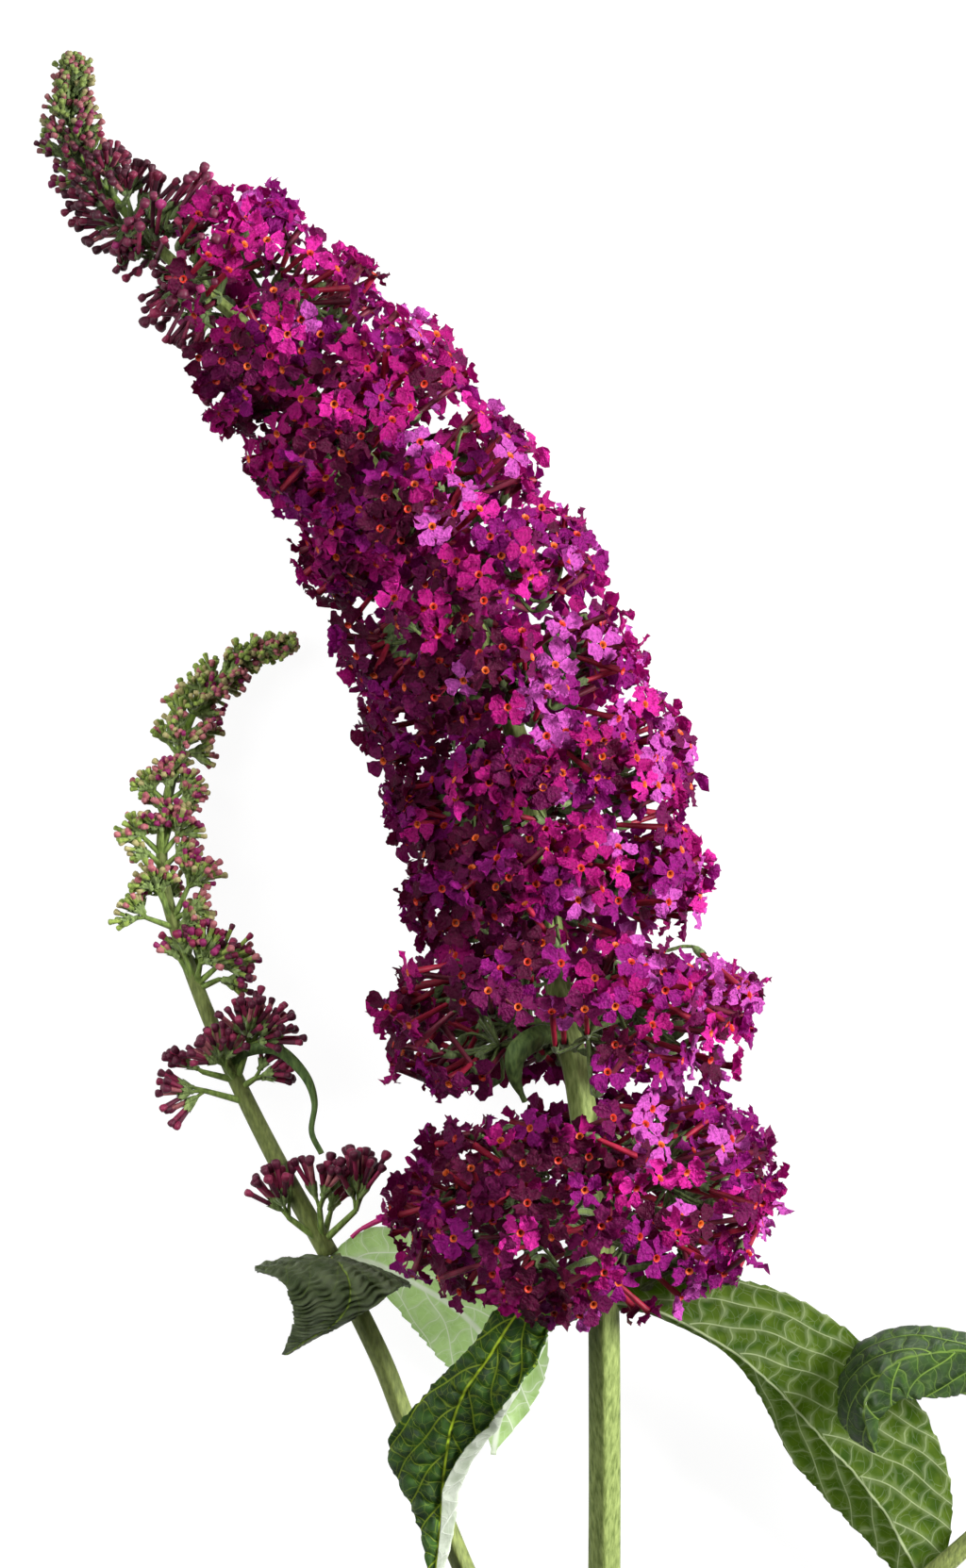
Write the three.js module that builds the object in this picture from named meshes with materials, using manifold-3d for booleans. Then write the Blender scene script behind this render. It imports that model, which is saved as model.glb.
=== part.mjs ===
// A flowering branch of butterfly bush (Buddleja), cut and laid on its back.
//
// Millimetres. The branch lies in the XY plane with +Z up: +Y runs from the cut end of the main
// stem towards the tip of the flower spike, +X to the right, and Z = 0 is what it lies on. The
// exported group has its origin at the bottom centre of the whole; points below are given from
// an origin of their own, which FRAME_SHIFT moves there.
// One stem runs from the cut end up through the big spike. Two side shoots leave it at a fork
// near the cut end. Each shoot has a pair of leaves and a young spike still in bud.

import * as THREE from 'three';
import { mergeVertices } from 'three/addons/utils/BufferGeometryUtils.js';
import Module from 'manifold-3d';

const wasm = await Module();
wasm.setup();

// ---------------------------------------------------------------- driving dimensions

const CLEARANCE = 0.3;             // gap between neighbouring pieces
const GROUND = 0.05;               // nothing reaches below this height
const BLADE = 1.1;                 // thickness of a leaf blade
const FRAME_SHIFT = new THREE.Vector3(-3.14, -0.56, -0.12); // puts the origin under the middle

// Open flower: a four-lobed limb on a slender tube.
const LIMB_RADIUS = 6.5;
const NOTCH_RADIUS = 3.8;
const LIMB_DEPTH = 1.7;
const THROAT_DEPTH = 0.5;
const NECK_RADIUS = 1.3;
const FLOWER_PITCH = 11.4;         // flowers stand this far apart, in rows round the stem
const FLOWER_SPAN = 5.1;           // half of a flower along the stem, its lobes set diagonally
const FLOWER_TILT = 0.3;           // how far a flower leans off its straight line out
const FLOWER_SINK = 2.2;           // how deep some flowers sit below the others
const FLOWER_SHARE = 0.6;          // length of a flower and its tube, as a share of the reach
const WANDER = 5;                  // how far a flower strays from its place in the row, in degrees
const ATTEMPTS = 6;
const ATTEMPT_STEP = 0.07;         // each new attempt is this share closer to the head's middle
const SHOULDER = 0.06;             // how much a whorl narrows to its two ends
const SHOULDER_LEAN = 1.5;         // how far the flowers of such an end lean along the stem
const CORE_SHARE = 0.58;           // radius of a whorl's dense middle, as a share of its own
const CORE_FINE = 20;              // a middle larger than this is rounder
const CORE_HEIGHT = 0.42;          // half height of that middle, as a share of the whorl's height

// Closed buds: long ones on the spikes, short ones at their tips.
const LONG_BUD_RADIUS = 1.9;
const LONG_BUD_PITCH = 6.2;
const BUD_RADIUS = 1.6;
const TIP_BUD_RADIUS = 1.7;
const TIP_BUD_LEAN = 0.75;         // how far a tip's buds point forward, in radians
const STALK_RADIUS = 0.8;
const KNUCKLE_RADIUS = 1.9;        // where the buds of a head meet
const HUB_FORK = 0.6;              // where a second stalk leaves the first, as a share of it
const FAN_ANGLE = 1.2;             // half angle of the fan of buds on a hub, in radians
const GOLDEN_ANGLE = 137.508;

// Main stem: cut end, fork, leaf node, then the axis of the spike.
const STEM_POINTS = [
  [1.9, -193, 3.1], [1.9, -176, 6], [2.1, -114, 18], [1.9, -64, 30], [0.4, -43, 35], [-3.2, -16, 37],
  [-7.2, 3, 36], [-12.4, 41, 30], [-17.1, 58, 29], [-24.7, 77, 27], [-43.7, 107, 23.5],
  [-66.5, 133, 20], [-79.8, 145, 17], [-90.6, 155, 12.5],
];
const STEM_RADIUS_FOOT = 3.0;
const STEM_RADIUS_NODE = 2.8;
const STEM_RADIUS_TOP = 1.0;
const STEM_NODE = 132;             // distance of the leaf node from the cut end

const TIP_POINTS = [[-90.8, 155.3, 12.4], [-98, 163.8, 9.5], [-104.5, 171.8, 7.5], [-105.9, 180, 6.5],
  [-105.4, 189.5, 6]];

const LEFT_LOWER_POINTS = [[1.9, -176, 6], [-12, -146, 8], [-26.6, -114, 10], [-38, -85, 12],
  [-43.5, -71, 13.5], [-53.2, -51.5, 15]];
const LEFT_UPPER_POINTS = [[-53.4, -51.1, 15], [-63, -34, 15], [-73, -14, 15], [-80.8, 4.6, 14],
  [-86.5, 22, 13], [-87.2, 35, 11.5], [-84.6, 49, 9.5]];
const LEFT_TIP_POINTS = [[-84.4, 49.4, 9.4], [-81, 58.5, 8], [-76, 65.5, 7], [-69, 71, 6], [-61.5, 73, 5]];

const RIGHT_LOWER_POINTS = [[1.9, -176, 6], [36, -143, 15], [73.2, -111, 21], [85.5, -99, 22.5],
  [94, -85, 23], [97, -73.5, 22]];
const RIGHT_UPPER_POINTS = [[97.1, -73.1, 21.9], [99.5, -60, 19], [101.5, -46, 15.5]];
const RIGHT_TIP_POINTS = [[101.6, -45.6, 15.4], [103, -33, 11], [102, -22, 7]];

const SHOOT_RADIUS_FOOT = 2.1;
const SHOOT_RADIUS_NODE = 1.9;
const SHOOT_RADIUS_TOP = 0.9;

// Whorls of the big spike: start and end along the stem, reach from its axis, and how much
// further they reach to the right than to the left. Each whorl is a pair of opposite flower
// heads, and each pair stands across the one below it.
const WHORLS = [
  { from: 131, to: 174.5, reach: 40, lean: -0.05, shoulder: 0.42 },
  { from: 178.5, to: 210, reach: 39, lean: 0, shoulder: 0.3 },
  { from: 210, to: 232, reach: 31, lean: 0.07 },
  { from: 232, to: 253, reach: 32, lean: 0.06 },
  { from: 253, to: 272.5, reach: 30.5, lean: 0.01 },
  { from: 272.5, to: 291, reach: 28.5, lean: 0.05 },
  { from: 291, to: 313.5, reach: 27, lean: 0.1 },
  { from: 313.5, to: 335.5, reach: 25, lean: 0.15 },
  { from: 335.5, to: 356, reach: 22.5, lean: 0.2 },
  { from: 356, to: 375.5, reach: 20, lean: 0.25, leftInBud: true },
  { from: 375.5, to: 389.5, reach: 15.5, lean: 0.3, leftInBud: true, rightInBud: true },
];
const FIRST_AZIMUTH = 135;         // direction of the lowest whorl's first head, seen along the stem

// Whorls of the young side spikes, in millimetres along the shoot: the stretch that is theirs,
// the knot that they grow from, and the direction that splits each into two opposite heads. A
// head has one or two hubs: direction, distance out and up from the knot, buds and their length.
const LEFT_WHORLS = [
  {
    from: 0.4, to: 28, knot: 5, split: 150,
    left: [{ azimuth: 135, out: 5.5, up: 8, buds: 10, length: 9 }],
    right: [
      { azimuth: 35, out: 5.5, up: 3, buds: 9, length: 10 },
      { azimuth: 2, out: 12.5, up: 1.5, buds: 9, length: 9.5 },
    ],
  },
  {
    from: 29, to: 55, knot: 42, split: 180,
    left: [{ azimuth: 178, out: 7, up: 1, buds: 12, length: 8.5 }],
    right: [{ azimuth: 12, out: 7.5, up: 2.5, buds: 12, length: 8.5 }],
  },
  {
    from: 56, to: 71, knot: 63, split: 190,
    left: [{ azimuth: 190, out: 2.6, up: 1.5, buds: 6, length: 5 }],
    right: [{ azimuth: 20, out: 7, up: 1.5, buds: 10, length: 7.5 }],
  },
  {
    from: 71.4, to: 85.5, knot: 77, split: 180,
    left: [{ azimuth: 172, out: 5.5, up: 1.5, buds: 9, length: 7 }],
    right: [{ azimuth: 8, out: 6.5, up: 1.5, buds: 9, length: 7 }],
  },
  {
    from: 86, to: 97, knot: 90.5, split: 170,
    left: [{ azimuth: 168, out: 4, up: 1, buds: 7, length: 5.5 }],
    right: [{ azimuth: 0, out: 5, up: 1, buds: 8, length: 5.5 }],
  },
  {
    from: 97.4, to: 107.4, knot: 101, split: 200,
    left: [{ azimuth: 190, out: 2.5, up: 1.2, buds: 6, length: 4.5 }],
    right: [{ azimuth: 20, out: 3.4, up: 1.2, buds: 6, length: 4.8 }],
  },
];
const RIGHT_WHORLS = [
  {
    from: 0.4, to: 13, knot: 6, split: 170,
    left: [{ azimuth: 170, out: 6.5, up: 1.5, buds: 9, length: 7.5 }],
    right: [{ azimuth: 10, out: 6, up: 1.5, buds: 9, length: 7.5 }],
  },
  {
    from: 13.4, to: 25.5, knot: 18, split: 180,
    left: [{ azimuth: 180, out: 4, up: 1, buds: 8, length: 6 }],
    right: [{ azimuth: 0, out: 4.5, up: 1, buds: 8, length: 6 }],
  },
];

// Tips of the three spikes, where the buds are packed close: reach at the foot and at the top.
const TIPS = {
  tip_main: { points: TIP_POINTS, twig: [1, 0.6], reach: [8.5, 4.4], buds: 26, swell: 1.35 },
  tip_left: { points: LEFT_TIP_POINTS, twig: [0.85, 0.5], reach: [6, 2.8], buds: 19, swell: 1.25 },
  tip_right: { points: RIGHT_TIP_POINTS, twig: [0.85, 0.5], reach: [5.5, 2.8], buds: 11, swell: 1.25 },
};

// ---------------------------------------------------------------- small helpers

const UP = new THREE.Vector3(0, 0, 1);

function seededRandom(seed) {
  let state = seed >>> 0;
  return () => {
    state = (Math.imul(state, 1664525) + 1013904223) >>> 0;
    return state / 4294967296;
  };
}

function curveThrough(points) {
  const places = points.map((p) => new THREE.Vector3(...p));
  const curve = new THREE.CatmullRomCurve3(places, false, 'catmullrom', 0.5);
  curve.arcLengthDivisions = 400;
  return curve;
}

// Position and axes at a share of a curve: along it, to its right, and up from it.
function frameAt(curve, share) {
  const u = THREE.MathUtils.clamp(share, 0, 1);
  const centre = curve.getPointAt(u);
  const along = curve.getTangentAt(u);
  const right = new THREE.Vector3().crossVectors(along, UP).normalize();
  const up = new THREE.Vector3().crossVectors(right, along).normalize();
  return { centre, along, right, up };
}

// Direction across a curve at an angle: 0 is right, 90 up, 180 left, 270 down.
function acrossAt(frame, degrees) {
  const angle = THREE.MathUtils.degToRad(degrees);
  return frame.right.clone().multiplyScalar(Math.cos(angle)).addScaledVector(frame.up, Math.sin(angle));
}

function solidFrom(geometry) {
  const bare = geometry.clone();
  bare.deleteAttribute('normal');
  bare.deleteAttribute('uv');
  const merged = mergeVertices(bare, 1e-4);
  return new wasm.Manifold(new wasm.Mesh({
    numProp: 3,
    vertProperties: new Float32Array(merged.attributes.position.array),
    triVerts: new Uint32Array(merged.index.array),
  }));
}

function geometryFrom(solid) {
  const mesh = solid.getMesh();
  const geometry = new THREE.BufferGeometry();
  geometry.setAttribute('position', new THREE.BufferAttribute(new Float32Array(mesh.vertProperties), 3));
  geometry.setIndex(new THREE.BufferAttribute(new Uint32Array(mesh.triVerts), 1));
  geometry.computeVertexNormals();
  return geometry;
}

// The largest body of a solid: loose scraps go, and a sealed hollow is filled.
function largestBody(solid) {
  const bodies = solid.decompose();
  return bodies.reduce((best, body) => (body.volume() > best.volume() ? body : best));
}

function moveVertices(geometry, place) {
  const position = geometry.attributes.position;
  const point = new THREE.Vector3();
  for (let i = 0; i < position.count; i += 1) {
    point.fromBufferAttribute(position, i);
    const moved = place(point);
    position.setXYZ(i, moved.x, moved.y, moved.z);
  }
  return geometry;
}

// ---------------------------------------------------------------- stems

// A tapering limb with a squarish section, bent along a curve.
function limbGeometry(curve, radiusAt, { sides, rings, square = 0, extra = 0 }) {
  const cylinder = new THREE.CylinderGeometry(1, 1, 1, sides, rings);
  return moveVertices(cylinder, (p) => {
    const share = p.y + 0.5;
    const frame = frameAt(curve, share);
    const fromAxis = Math.hypot(p.x, p.z);
    const angle = Math.atan2(p.x, p.z);
    const corner = 1 + square * Math.cos(4 * angle);
    const radius = fromAxis * (radiusAt(share) * corner + extra);
    return frame.centre.clone()
      .addScaledVector(frame.right, radius * Math.cos(angle + Math.PI / 4))
      .addScaledVector(frame.up, -radius * Math.sin(angle + Math.PI / 4));
  });
}

function taper(...radii) {
  return (share) => {
    const place = THREE.MathUtils.clamp(share, 0, 1) * (radii.length - 1);
    const index = Math.min(Math.floor(place), radii.length - 2);
    return THREE.MathUtils.lerp(radii[index], radii[index + 1], place - index);
  };
}

const stemCurve = curveThrough(STEM_POINTS);
const stemLength = stemCurve.getLength();

function stemRadius(share) {
  const distance = share * stemLength;
  if (distance < STEM_NODE) {
    return THREE.MathUtils.lerp(STEM_RADIUS_FOOT, STEM_RADIUS_NODE, distance / STEM_NODE);
  }
  const climbed = (distance - STEM_NODE) / (stemLength - STEM_NODE);
  return THREE.MathUtils.lerp(STEM_RADIUS_NODE, STEM_RADIUS_TOP, climbed);
}

const LIMBS = {
  main_stem: { curve: stemCurve, radius: stemRadius, rings: 22, sides: 8, square: 0.1 },
  left_shoot_lower: {
    curve: curveThrough(LEFT_LOWER_POINTS), radius: taper(SHOOT_RADIUS_FOOT, SHOOT_RADIUS_NODE),
    rings: 8, sides: 6, from: 'main_stem',
  },
  left_shoot_upper: {
    curve: curveThrough(LEFT_UPPER_POINTS), radius: taper(SHOOT_RADIUS_NODE, SHOOT_RADIUS_TOP),
    rings: 10, sides: 6,
  },
  right_shoot_lower: {
    curve: curveThrough(RIGHT_LOWER_POINTS), radius: taper(SHOOT_RADIUS_FOOT, SHOOT_RADIUS_NODE),
    rings: 9, sides: 6, from: 'main_stem',
  },
  right_shoot_upper: {
    curve: curveThrough(RIGHT_UPPER_POINTS), radius: taper(SHOOT_RADIUS_NODE, SHOOT_RADIUS_TOP),
    rings: 4, sides: 6,
  },
};

function limbSolid(limb, extra = 0) {
  const { rings, sides, square } = limb;
  return solidFrom(limbGeometry(limb.curve, limb.radius, { rings, sides, square, extra }));
}

// ---------------------------------------------------------------- leaves

// A blade on a midrib curve. Each half has its own width, a fold where it leaves the midrib
// and a curl towards its margin. Positive angles turn it to the side that the blade faces.
// Left and right are those of someone who walks from the blade's base to its tip on that side.
// The blade is widest at a share of its length, and narrows to base and tip by two exponents,
// which a half may have of its own. roll turns the whole blade about its midrib, and twist adds
// to that towards the tip. side is its right side, where the curve can't give one, and underside
// marks a blade that shows its lower face upward.
const LEAVES = {
  leaf_front: {
    midrib: [[1.9, -59.5, 31.5], [-5.7, -58.5, 38], [-14, -60.4, 40.5], [-21.3, -71, 37],
      [-26.2, -78.3, 32], [-28.9, -86, 27], [-30.5, -97, 20.5], [-31, -106, 17.5], [-32.3, -119, 15.5]],
    right: { width: 12.5, fold: -6, curl: -32, power: 1, widest: 0.65, base: 2.4, tip: 5 },
    left: { width: 12.5, fold: 4, curl: 135, power: 3, widest: 0.4, base: 0.8, tip: 1 },
    widest: 0.6, base: 1.1, tip: 1.5, stalk: 2.6, cells: [9, 6],
  },
  leaf_right: {
    midrib: [[1.9, -60, 31.5], [12, -61.5, 31], [27.7, -69.9, 28.5], [38, -78.9, 26], [46.6, -88.4, 24],
      [53.6, -96.1, 22.5], [60.6, -106, 20], [70.3, -125.6, 14]],
    left: { width: 19.5, fold: -2, curl: -8, power: 1 },
    right: { width: 11, fold: -50, curl: 0, power: 1, widest: 0.6, base: 3, tip: 1.1 },
    widest: 0.58, base: 0.6, tip: 1.2, roll: 6, twist: -12, stalk: 2.2, underside: true,
  },
  leaf_left_dark: {
    midrib: [[-53.2, -51.5, 15], [-52.6, -51.8, 21], [-50.8, -53, 26.5], [-49.2, -56.5, 29.5],
      [-49.6, -61, 29], [-53, -65, 26], [-58, -68, 22], [-62.3, -71, 18]],
    left: { width: 16.5, fold: -4, curl: -16, power: 1, widest: 0.25, base: 0.8, tip: 4.4 },
    right: { width: 16.5, fold: -4, curl: -10, power: 1, widest: 0.25, base: 0.8, tip: 1.3 },
    widest: 0.25, base: 0.8, tip: 1.3, side: [-1, 0.1, 0], stalk: 1.8, cells: [8, 4],
  },
  leaf_left_pale: {
    midrib: [[-53.2, -51.5, 15], [-45.5, -52.6, 9.5], [-38.8, -55.7, 6.5], [-27.3, -62.8, 4.5],
      [-20.5, -71, 3.6], [-19, -80, 3], [-20.3, -92, 2.4]],
    left: { width: 13.5, fold: 2, curl: 4, power: 1 },
    right: { width: 9.4, fold: 3, curl: 6, power: 1, widest: 0.55, base: 1.5, tip: 1.1 },
    widest: 0.5, base: 0.8, tip: 1.1, stalk: 1.8, underside: true,
  },
  leaf_right_curled: {
    midrib: [[97, -73.5, 22], [87, -71.5, 29], [75, -69.8, 33.5], [65.7, -70.2, 35.5], [58.5, -73, 35.5],
      [55, -78, 34], [54, -83.5, 31], [56.5, -90, 28]],
    left: { width: 10.5, fold: -10, curl: -20, power: 1, widest: 0.5, base: 0.9, tip: 1 },
    right: { width: 14, fold: -54, curl: -14, power: 1, widest: 0.7, base: 0.9, tip: 0.7 },
    widest: 0.55, base: 0.9, tip: 0.7, stalk: 1.8,
  },
  leaf_right_far: {
    midrib: [[97, -73.5, 22], [105, -72, 20], [113, -76, 14], [118, -86, 7]],
    left: { width: 8, fold: -15, curl: -20, power: 1 },
    right: { width: 8, fold: -15, curl: -20, power: 1 },
    widest: 0.5, base: 1, tip: 1.2, stalk: 1.8,
  },
  bract_front: {
    midrib: [[-5.2, -7, 37], [-10.5, -6.2, 44], [-15.5, -9.5, 46.5], [-16, -14.5, 45], [-14, -19.5, 42.5]],
    left: { width: 2.6, fold: -20, curl: -20, power: 1 },
    right: { width: 2.6, fold: -20, curl: -20, power: 1 },
    widest: 0.45, base: 1, tip: 1, stalk: 1, cells: [6, 2],
  },
  bract_left: {
    midrib: [[-73.6, -13, 15], [-70, -9.8, 18.5], [-64, -9.4, 20], [-58.5, -14.4, 20], [-56.4, -20, 19.5],
      [-57, -26, 18.5], [-55, -30.5, 17.5]],
    left: { width: 1.7, fold: -15, curl: -10, power: 1 },
    right: { width: 1.7, fold: -15, curl: -10, power: 1 },
    widest: 0.5, base: 1, tip: 1, stalk: 0.8, cells: [8, 2],
  },
};
const LEAF_CELLS = [7, 4];
const BLADE_END = 0.5;             // half width of a blade at its very tip
const BLADE_STEPS = 12;            // steps that add up to a curled half

// Half width of a blade at a share of its length: a narrow base, one swell, then a fine point.
function bladeWidth(leaf, half, share) {
  const { widest, base, tip } = { ...leaf, ...half };
  const power = Math.log(0.5) / Math.log(widest);
  const exponent = share < widest ? base : tip;
  const swell = Math.max(Math.sin(Math.PI * share ** power), 0) ** exponent;
  const stalk = leaf.stalk * (1 - share) ** 3;
  return Math.max(half.width * swell, stalk, BLADE_END);
}

// Axes of a blade: along its midrib, to its right, and the way it faces. A blade that starts
// steeply upward takes its right side from its own table, as straight up gives none.
function bladeFrame(leaf, share) {
  const { centre, along, right, up } = frameAt(leaf.curve, share);
  if (leaf.side) {
    const side = new THREE.Vector3(...leaf.side);
    right.copy(side.addScaledVector(along, -side.dot(along)).normalize());
    up.crossVectors(right, along);
  }
  const roll = THREE.MathUtils.degToRad((leaf.roll ?? 0) + (leaf.twist ?? 0) * share);
  right.applyAxisAngle(along, roll);
  up.applyAxisAngle(along, roll);
  return { centre, right, up };
}

// A point of the blade's middle surface, and the direction that it faces there.
// share runs from base to tip, and across from -1 at the left margin to 1 at the right.
function bladePoint(leaf, share, across, extra = 0) {
  const { centre, right, up } = bladeFrame(leaf, share);
  const half = across < 0 ? leaf.left : leaf.right;
  const outward = right.multiplyScalar(Math.sign(across) || 1);
  const reach = (bladeWidth(leaf, half, share) + extra) * Math.abs(across);
  const point = centre.clone();
  let angle = THREE.MathUtils.degToRad(half.fold);
  for (let step = 0; step < BLADE_STEPS; step += 1) {
    const reached = (step + 0.5) / BLADE_STEPS * Math.abs(across);
    angle = THREE.MathUtils.degToRad(half.fold + half.curl * reached ** half.power);
    point.addScaledVector(outward, reach / BLADE_STEPS * Math.cos(angle));
    point.addScaledVector(up, reach / BLADE_STEPS * Math.sin(angle));
  }
  const normal = up.multiplyScalar(Math.cos(angle)).addScaledVector(outward, -Math.sin(angle));
  return { point, normal };
}

function leafSolid(leaf, extra = 0) {
  const [lengthCells, widthCells] = leaf.cells ?? LEAF_CELLS;
  const slab = new THREE.BoxGeometry(1, 1, 1, lengthCells, widthCells, 1);
  return solidFrom(moveVertices(slab, (p) => {
    const { point, normal } = bladePoint(leaf, p.x + 0.5, -2 * p.y, extra);
    return point.addScaledVector(normal, p.z * (BLADE + 2 * extra));
  }));
}

// ---------------------------------------------------------------- flowers and buds

// Open flower along +Z: throat at the origin, root at the far end of a three-sided tube.
function flowerGeometry(length) {
  const points = [new THREE.Vector3(0, 0, -THROAT_DEPTH), new THREE.Vector3(0, 0, -length)];
  for (let i = 0; i < 8; i += 1) {
    const angle = i * Math.PI / 4;
    const radius = i % 2 ? NOTCH_RADIUS : LIMB_RADIUS;
    points.push(new THREE.Vector3(radius * Math.cos(angle), radius * Math.sin(angle), 0));
  }
  for (let i = 0; i < 3; i += 1) {
    const angle = i * Math.PI * 2 / 3;
    const [x, y] = [NECK_RADIUS * Math.cos(angle), NECK_RADIUS * Math.sin(angle)];
    points.push(new THREE.Vector3(x, y, -LIMB_DEPTH));
  }
  const throat = 0;
  const root = 1;
  const rim = (i) => 2 + (i % 8);
  const neck = (i) => 10 + (i % 3);
  const nearestNeck = (i) => Math.round((i + 0.5) * 3 / 8);
  const faces = [];
  for (let i = 0; i < 8; i += 1) {
    faces.push(throat, rim(i), rim(i + 1));
    faces.push(rim(i + 1), rim(i), neck(nearestNeck(i)));
    if (nearestNeck(i + 1) !== nearestNeck(i)) {
      faces.push(rim(i + 1), neck(nearestNeck(i)), neck(nearestNeck(i + 1)));
    }
  }
  for (let i = 0; i < 3; i += 1) {
    faces.push(neck(i), root, neck(i + 1));
  }
  return new THREE.BufferGeometry().setFromPoints(points).setIndex(faces);
}

// Closed bud along +Z: a knob at the origin that narrows to its root.
function budGeometry(radius, length) {
  const cone = new THREE.ConeGeometry(radius, length, 3, 1);
  cone.rotateX(-Math.PI / 2);
  cone.translate(0, 0, -length / 2);
  return cone;
}

// A copy of a shape with its origin at a tip and its +Z along an axis. It is turned about that
// axis from the direction that sideways gives.
function placed(shape, tip, axis, sideways, spin = 0) {
  const across = new THREE.Vector3().crossVectors(axis, sideways).normalize();
  const forward = new THREE.Vector3().crossVectors(across, axis);
  const turn = new THREE.Matrix4().makeBasis(forward, across, axis);
  turn.multiply(new THREE.Matrix4().makeRotationZ(spin));
  turn.setPosition(tip);
  return shape.clone().applyMatrix4(turn);
}

// ---------------------------------------------------------------- flower heads

// The space of one head: half of a slice across the stem, above the ground.
function headSpace(curve, from, to, azimuth) {
  const length = curve.getLength();
  const low = frameAt(curve, from / length);
  const high = frameAt(curve, to / length);
  const middle = frameAt(curve, (from + to) / 2 / length);
  const facing = acrossAt(middle, azimuth);
  const margin = CLEARANCE / 2;
  const planes = [
    { normal: low.along, offset: low.along.dot(low.centre) + margin },
    { normal: high.along.clone().negate(), offset: margin - high.along.dot(high.centre) },
    { normal: facing, offset: facing.dot(middle.centre) + margin },
    { normal: UP, offset: GROUND },
  ];
  return { middle, planes };
}

function staysInside(geometry, planes) {
  const position = geometry.attributes.position;
  const point = new THREE.Vector3();
  for (let i = 0; i < position.count; i += 1) {
    point.fromBufferAttribute(position, i);
    if (planes.some(({ normal, offset }) => normal.dot(point) < offset)) {
      return false;
    }
  }
  return true;
}

function touches(solid, obstacles) {
  return obstacles.some((obstacle) => !solid.intersect(obstacle).isEmpty());
}

// A big slab on the far side of a plane, for cutting a core to its space.
function beyond({ normal, offset }) {
  const size = 400;
  const box = new THREE.BoxGeometry(size, size, size);
  box.translate(0, 0, -size / 2);
  box.applyQuaternion(new THREE.Quaternion().setFromUnitVectors(UP, normal));
  const edge = normal.clone().multiplyScalar(offset);
  box.translate(edge.x, edge.y, edge.z);
  return solidFrom(box);
}

// Dense middle of a head: its share of a ball round the stem, cut clear of its neighbours.
function coreSolid(space, reach, halfHeight, obstacles) {
  const ball = new THREE.IcosahedronGeometry(1, reach > CORE_FINE ? 1 : 0);
  ball.scale(reach, reach, halfHeight);
  ball.applyQuaternion(new THREE.Quaternion().setFromUnitVectors(UP, space.middle.along));
  const { centre } = space.middle;
  ball.translate(centre.x, centre.y, centre.z);
  let core = solidFrom(ball);
  for (const plane of space.planes) {
    core = core.subtract(beyond(plane));
  }
  for (const obstacle of obstacles) {
    core = core.subtract(obstacle);
  }
  return largestBody(core);
}

// Reach of the spike in a direction, held back where the branch lies on its bed.
function reachAt(reach, lean, direction, frame) {
  const leaned = reach * (1 + lean * direction.dot(frame.right));
  const downward = -direction.z;
  if (downward <= 0) {
    return leaned;
  }
  const drop = LIMB_RADIUS * Math.sqrt(1 - downward ** 2) + 2 * GROUND;
  return Math.min(leaned, (frame.centre.z - drop - 0.5) / downward);
}

// One head of open flowers, or of long buds: rows round its half of the stem, every second row
// half a place on, each flower leaning a little its own way. One that would leave the head's
// space or touch a neighbour is tried again closer to its line, and then left out.
function flowerHead(whorl, azimuth, inBud, seed, nearby) {
  const random = seededRandom(seed);
  const space = headSpace(stemCurve, whorl.from, whorl.to, azimuth);
  const height = whorl.to - whorl.from;
  const shoulder = whorl.shoulder ?? SHOULDER;
  const span = inBud ? LONG_BUD_RADIUS : FLOWER_SPAN;
  const pitch = inBud ? LONG_BUD_PITCH : FLOWER_PITCH;
  const widest = Math.atan(whorl.reach / (inBud ? 2 * LONG_BUD_RADIUS : LIMB_RADIUS));
  const length = whorl.reach * FLOWER_SHARE;
  const shape = inBud ? budGeometry(LONG_BUD_RADIUS, length) : flowerGeometry(length);
  const rows = Math.round(height / pitch);
  let head = coreSolid(space, whorl.reach * CORE_SHARE, height * CORE_HEIGHT, nearby);
  for (let row = 0; row < rows; row += 1) {
    const level = rows > 1 ? 2 * row / (rows - 1) - 1 : 0;
    const ownReach = whorl.reach * (1 - shoulder * level ** 2);
    const count = Math.round(2 * widest * ownReach / pitch);
    for (let i = 0; i < count; i += 1) {
      const place = (i + 0.25 + 0.5 * (row % 2)) / count;
      const sweep = THREE.MathUtils.radToDeg(widest) * (2 * place - 1);
      for (let attempt = 0; attempt < ATTEMPTS; attempt += 1) {
        const ease = 1 - attempt / ATTEMPTS;
        const offset = level * (height / 2 - span) * (1 - ATTEMPT_STEP * attempt);
        const frame = frameAt(stemCurve, ((whorl.from + whorl.to) / 2 + offset) / stemLength);
        const wander = (random() - 0.5) * WANDER * ease;
        const sink = random() * FLOWER_SINK;
        const leanAlong = (random() - 0.5) * FLOWER_TILT * ease + level * shoulder * SHOULDER_LEAN;
        const leanRound = (random() - 0.5) * FLOWER_TILT * ease;
        const spin = Math.PI / 4 + (random() - 0.5) * FLOWER_TILT * ease;
        const direction = acrossAt(frame, azimuth + sweep * (1 - ATTEMPT_STEP * attempt / 2) + wander);
        const round = new THREE.Vector3().crossVectors(frame.along, direction);
        const axis = direction.clone()
          .addScaledVector(frame.along, leanAlong)
          .addScaledVector(round, leanRound)
          .normalize();
        const tip = frame.centre.clone()
          .addScaledVector(direction, reachAt(ownReach, whorl.lean, direction, frame) - sink);
        const flower = placed(shape, tip, axis, frame.along, spin);
        const solid = solidFrom(flower);
        if (staysInside(flower, space.planes) && !touches(solid, nearby)) {
          head = head.add(solid);
          break;
        }
      }
    }
  }
  return largestBody(head);
}

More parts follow.
